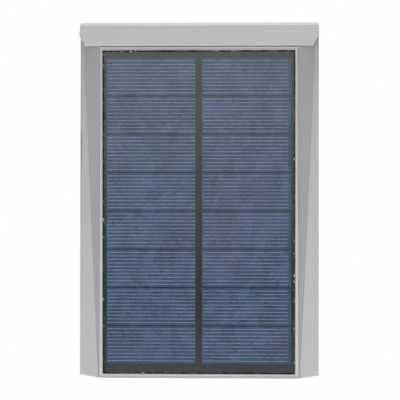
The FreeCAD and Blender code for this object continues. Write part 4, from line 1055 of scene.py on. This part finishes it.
def make_casings():
    """The casings, the wall plate and the small pieces of the lower face, with rounded edges.

    The last two numbers are the width of the rounding and the room that it needs, in millimetres.
    """
    for name, node, body, slot, finish, width, room in (
        ("lid", "top_cover", "lamp", "housing_silver", "silver_casing", 0.35, 0.6),
        ("lower_casing", "bottom_housing", "lamp", "housing_silver", "silver_casing", 0.3, 0.9),
        ("hook_plate", "wall_plate", "wall", "plate_grey", "plate_grey", 0.35, 0.6),
        ("button_cap", "mode_button", "button", "button_grey", "button_rubber", 0.25, 0.0),
        ("light_pipe", "indicator_pipe", "lamp", "pipe_clear", "clear_pipe", 0.2, 0.0),
    ):
        piece(name, softened(node, width * MM, room * MM), body, finish, [node])


# Studio


def backdrop_glow(tree, plain):
    """How brightly the backdrop shows: white to the camera, paler in gloss and through glass."""
    path = add(tree, "ShaderNodeLightPath").outputs
    mirrored = sum_of(tree, "MAXIMUM", path["Is Glossy Ray"], path["Is Transmission Ray"])
    pale = ranged(tree, mirrored, low=plain, high=MIRRORED_LEVEL)
    return sum_of(tree, "MAXIMUM", path["Is Camera Ray"], pale)


def make_world():
    """A world that is white to the camera and dim to the lamp."""
    world = bpy.data.worlds.new("studio")
    bpy.context.scene.world = world
    world.use_nodes = True
    tree = world.node_tree
    tree.nodes.clear()
    sky = add(tree, "ShaderNodeBackground", {"Color": (1, 1, 1, 1),
                                             "Strength": backdrop_glow(tree, WORLD_LEVEL)})
    add(tree, "ShaderNodeOutputWorld", {"Surface": sky.outputs[0]})


def make_floor():
    """A pale floor below the lamp. It lets views from below and the lamps' rays through."""
    level = cad_low.z - FLOOR_DROP
    corners = [(x * FLOOR_REACH, y * FLOOR_REACH, level)
               for x, y in ((-1, -1), (1, -1), (1, 1), (-1, 1))]
    floor = linked("floor", from_faces("floor", corners, [(0, 1, 2, 3)]))
    made, tree, shader = blank("pale_floor")
    fix(shader, Base_Color=(FLOOR_GREY, FLOOR_GREY, FLOOR_GREY, 1), Roughness=0.9)
    lit = add(tree, "ShaderNodeEmission", {"Color": (1, 1, 1, 1), "Strength": 1.0})
    both = add(tree, "ShaderNodeMixShader", {0: backdrop_glow(tree, 0.0), 1: shader.outputs[0],
                                             2: lit.outputs[0]})
    passes = sum_of(tree, "MAXIMUM", add(tree, "ShaderNodeNewGeometry").outputs["Backfacing"],
                    add(tree, "ShaderNodeLightPath").outputs["Is Shadow Ray"])
    open_side = add(tree, "ShaderNodeBsdfTransparent")
    one_sided = add(tree, "ShaderNodeMixShader", {0: passes, 1: both.outputs[0],
                                                  2: open_side.outputs[0]})
    show(tree, one_sided)
    floor.data.materials.append(made)


def hang_lamps():
    """Soft lamps round the camera's line of sight, all turned to the middle of the module."""
    aim = LID @ Vector((0, -VIEW_BACK, 0))
    for name, azimuth, off_axis, distance, size, power in LAMPS:
        turn, side = math.radians(off_axis), math.radians(azimuth)
        away = LID.to_3x3() @ Vector((math.sin(turn) * math.sin(side),
                                      -math.sin(turn) * math.cos(side), math.cos(turn)))
        data = bpy.data.lights.new(name, "AREA")
        data.shape = "DISK"
        data.size = size
        data.energy = power
        lamp = linked(name, data)
        lamp.location = aim + away * distance
        lamp.rotation_euler = away.to_track_quat("Z", "Y").to_euler()
        lamp.visible_camera = False
        lamp.visible_transmission = False


def place_camera():
    """The camera, as far off as its lens needs for the width of the view."""
    data = bpy.data.cameras.new("camera")
    data.lens = VIEW_LENS
    distance = VIEW_WIDTH * VIEW_LENS / data.sensor_width
    aim = Matrix.Translation((VIEW_ASIDE, -VIEW_BACK, 0))
    turn = Matrix.Rotation(VIEW_YAW, 4, "Y") @ Matrix.Rotation(-VIEW_PITCH, 4, "X")
    camera = linked("camera", data)
    camera.matrix_world = LID @ aim @ turn @ Matrix.Translation((0, 0, distance))
    bpy.context.scene.camera = camera


place_camera()
make_world()
make_floor()
hang_lamps()
make_casings()
make_laminate()
make_fingers()
make_bead()
make_screws()
make_lens()
make_phosphor()
make_dome()
for node, finish in NODE_FINISH.items():
    dress(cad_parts[node], finish)

bpy.context.scene.view_settings.view_transform = "Standard"
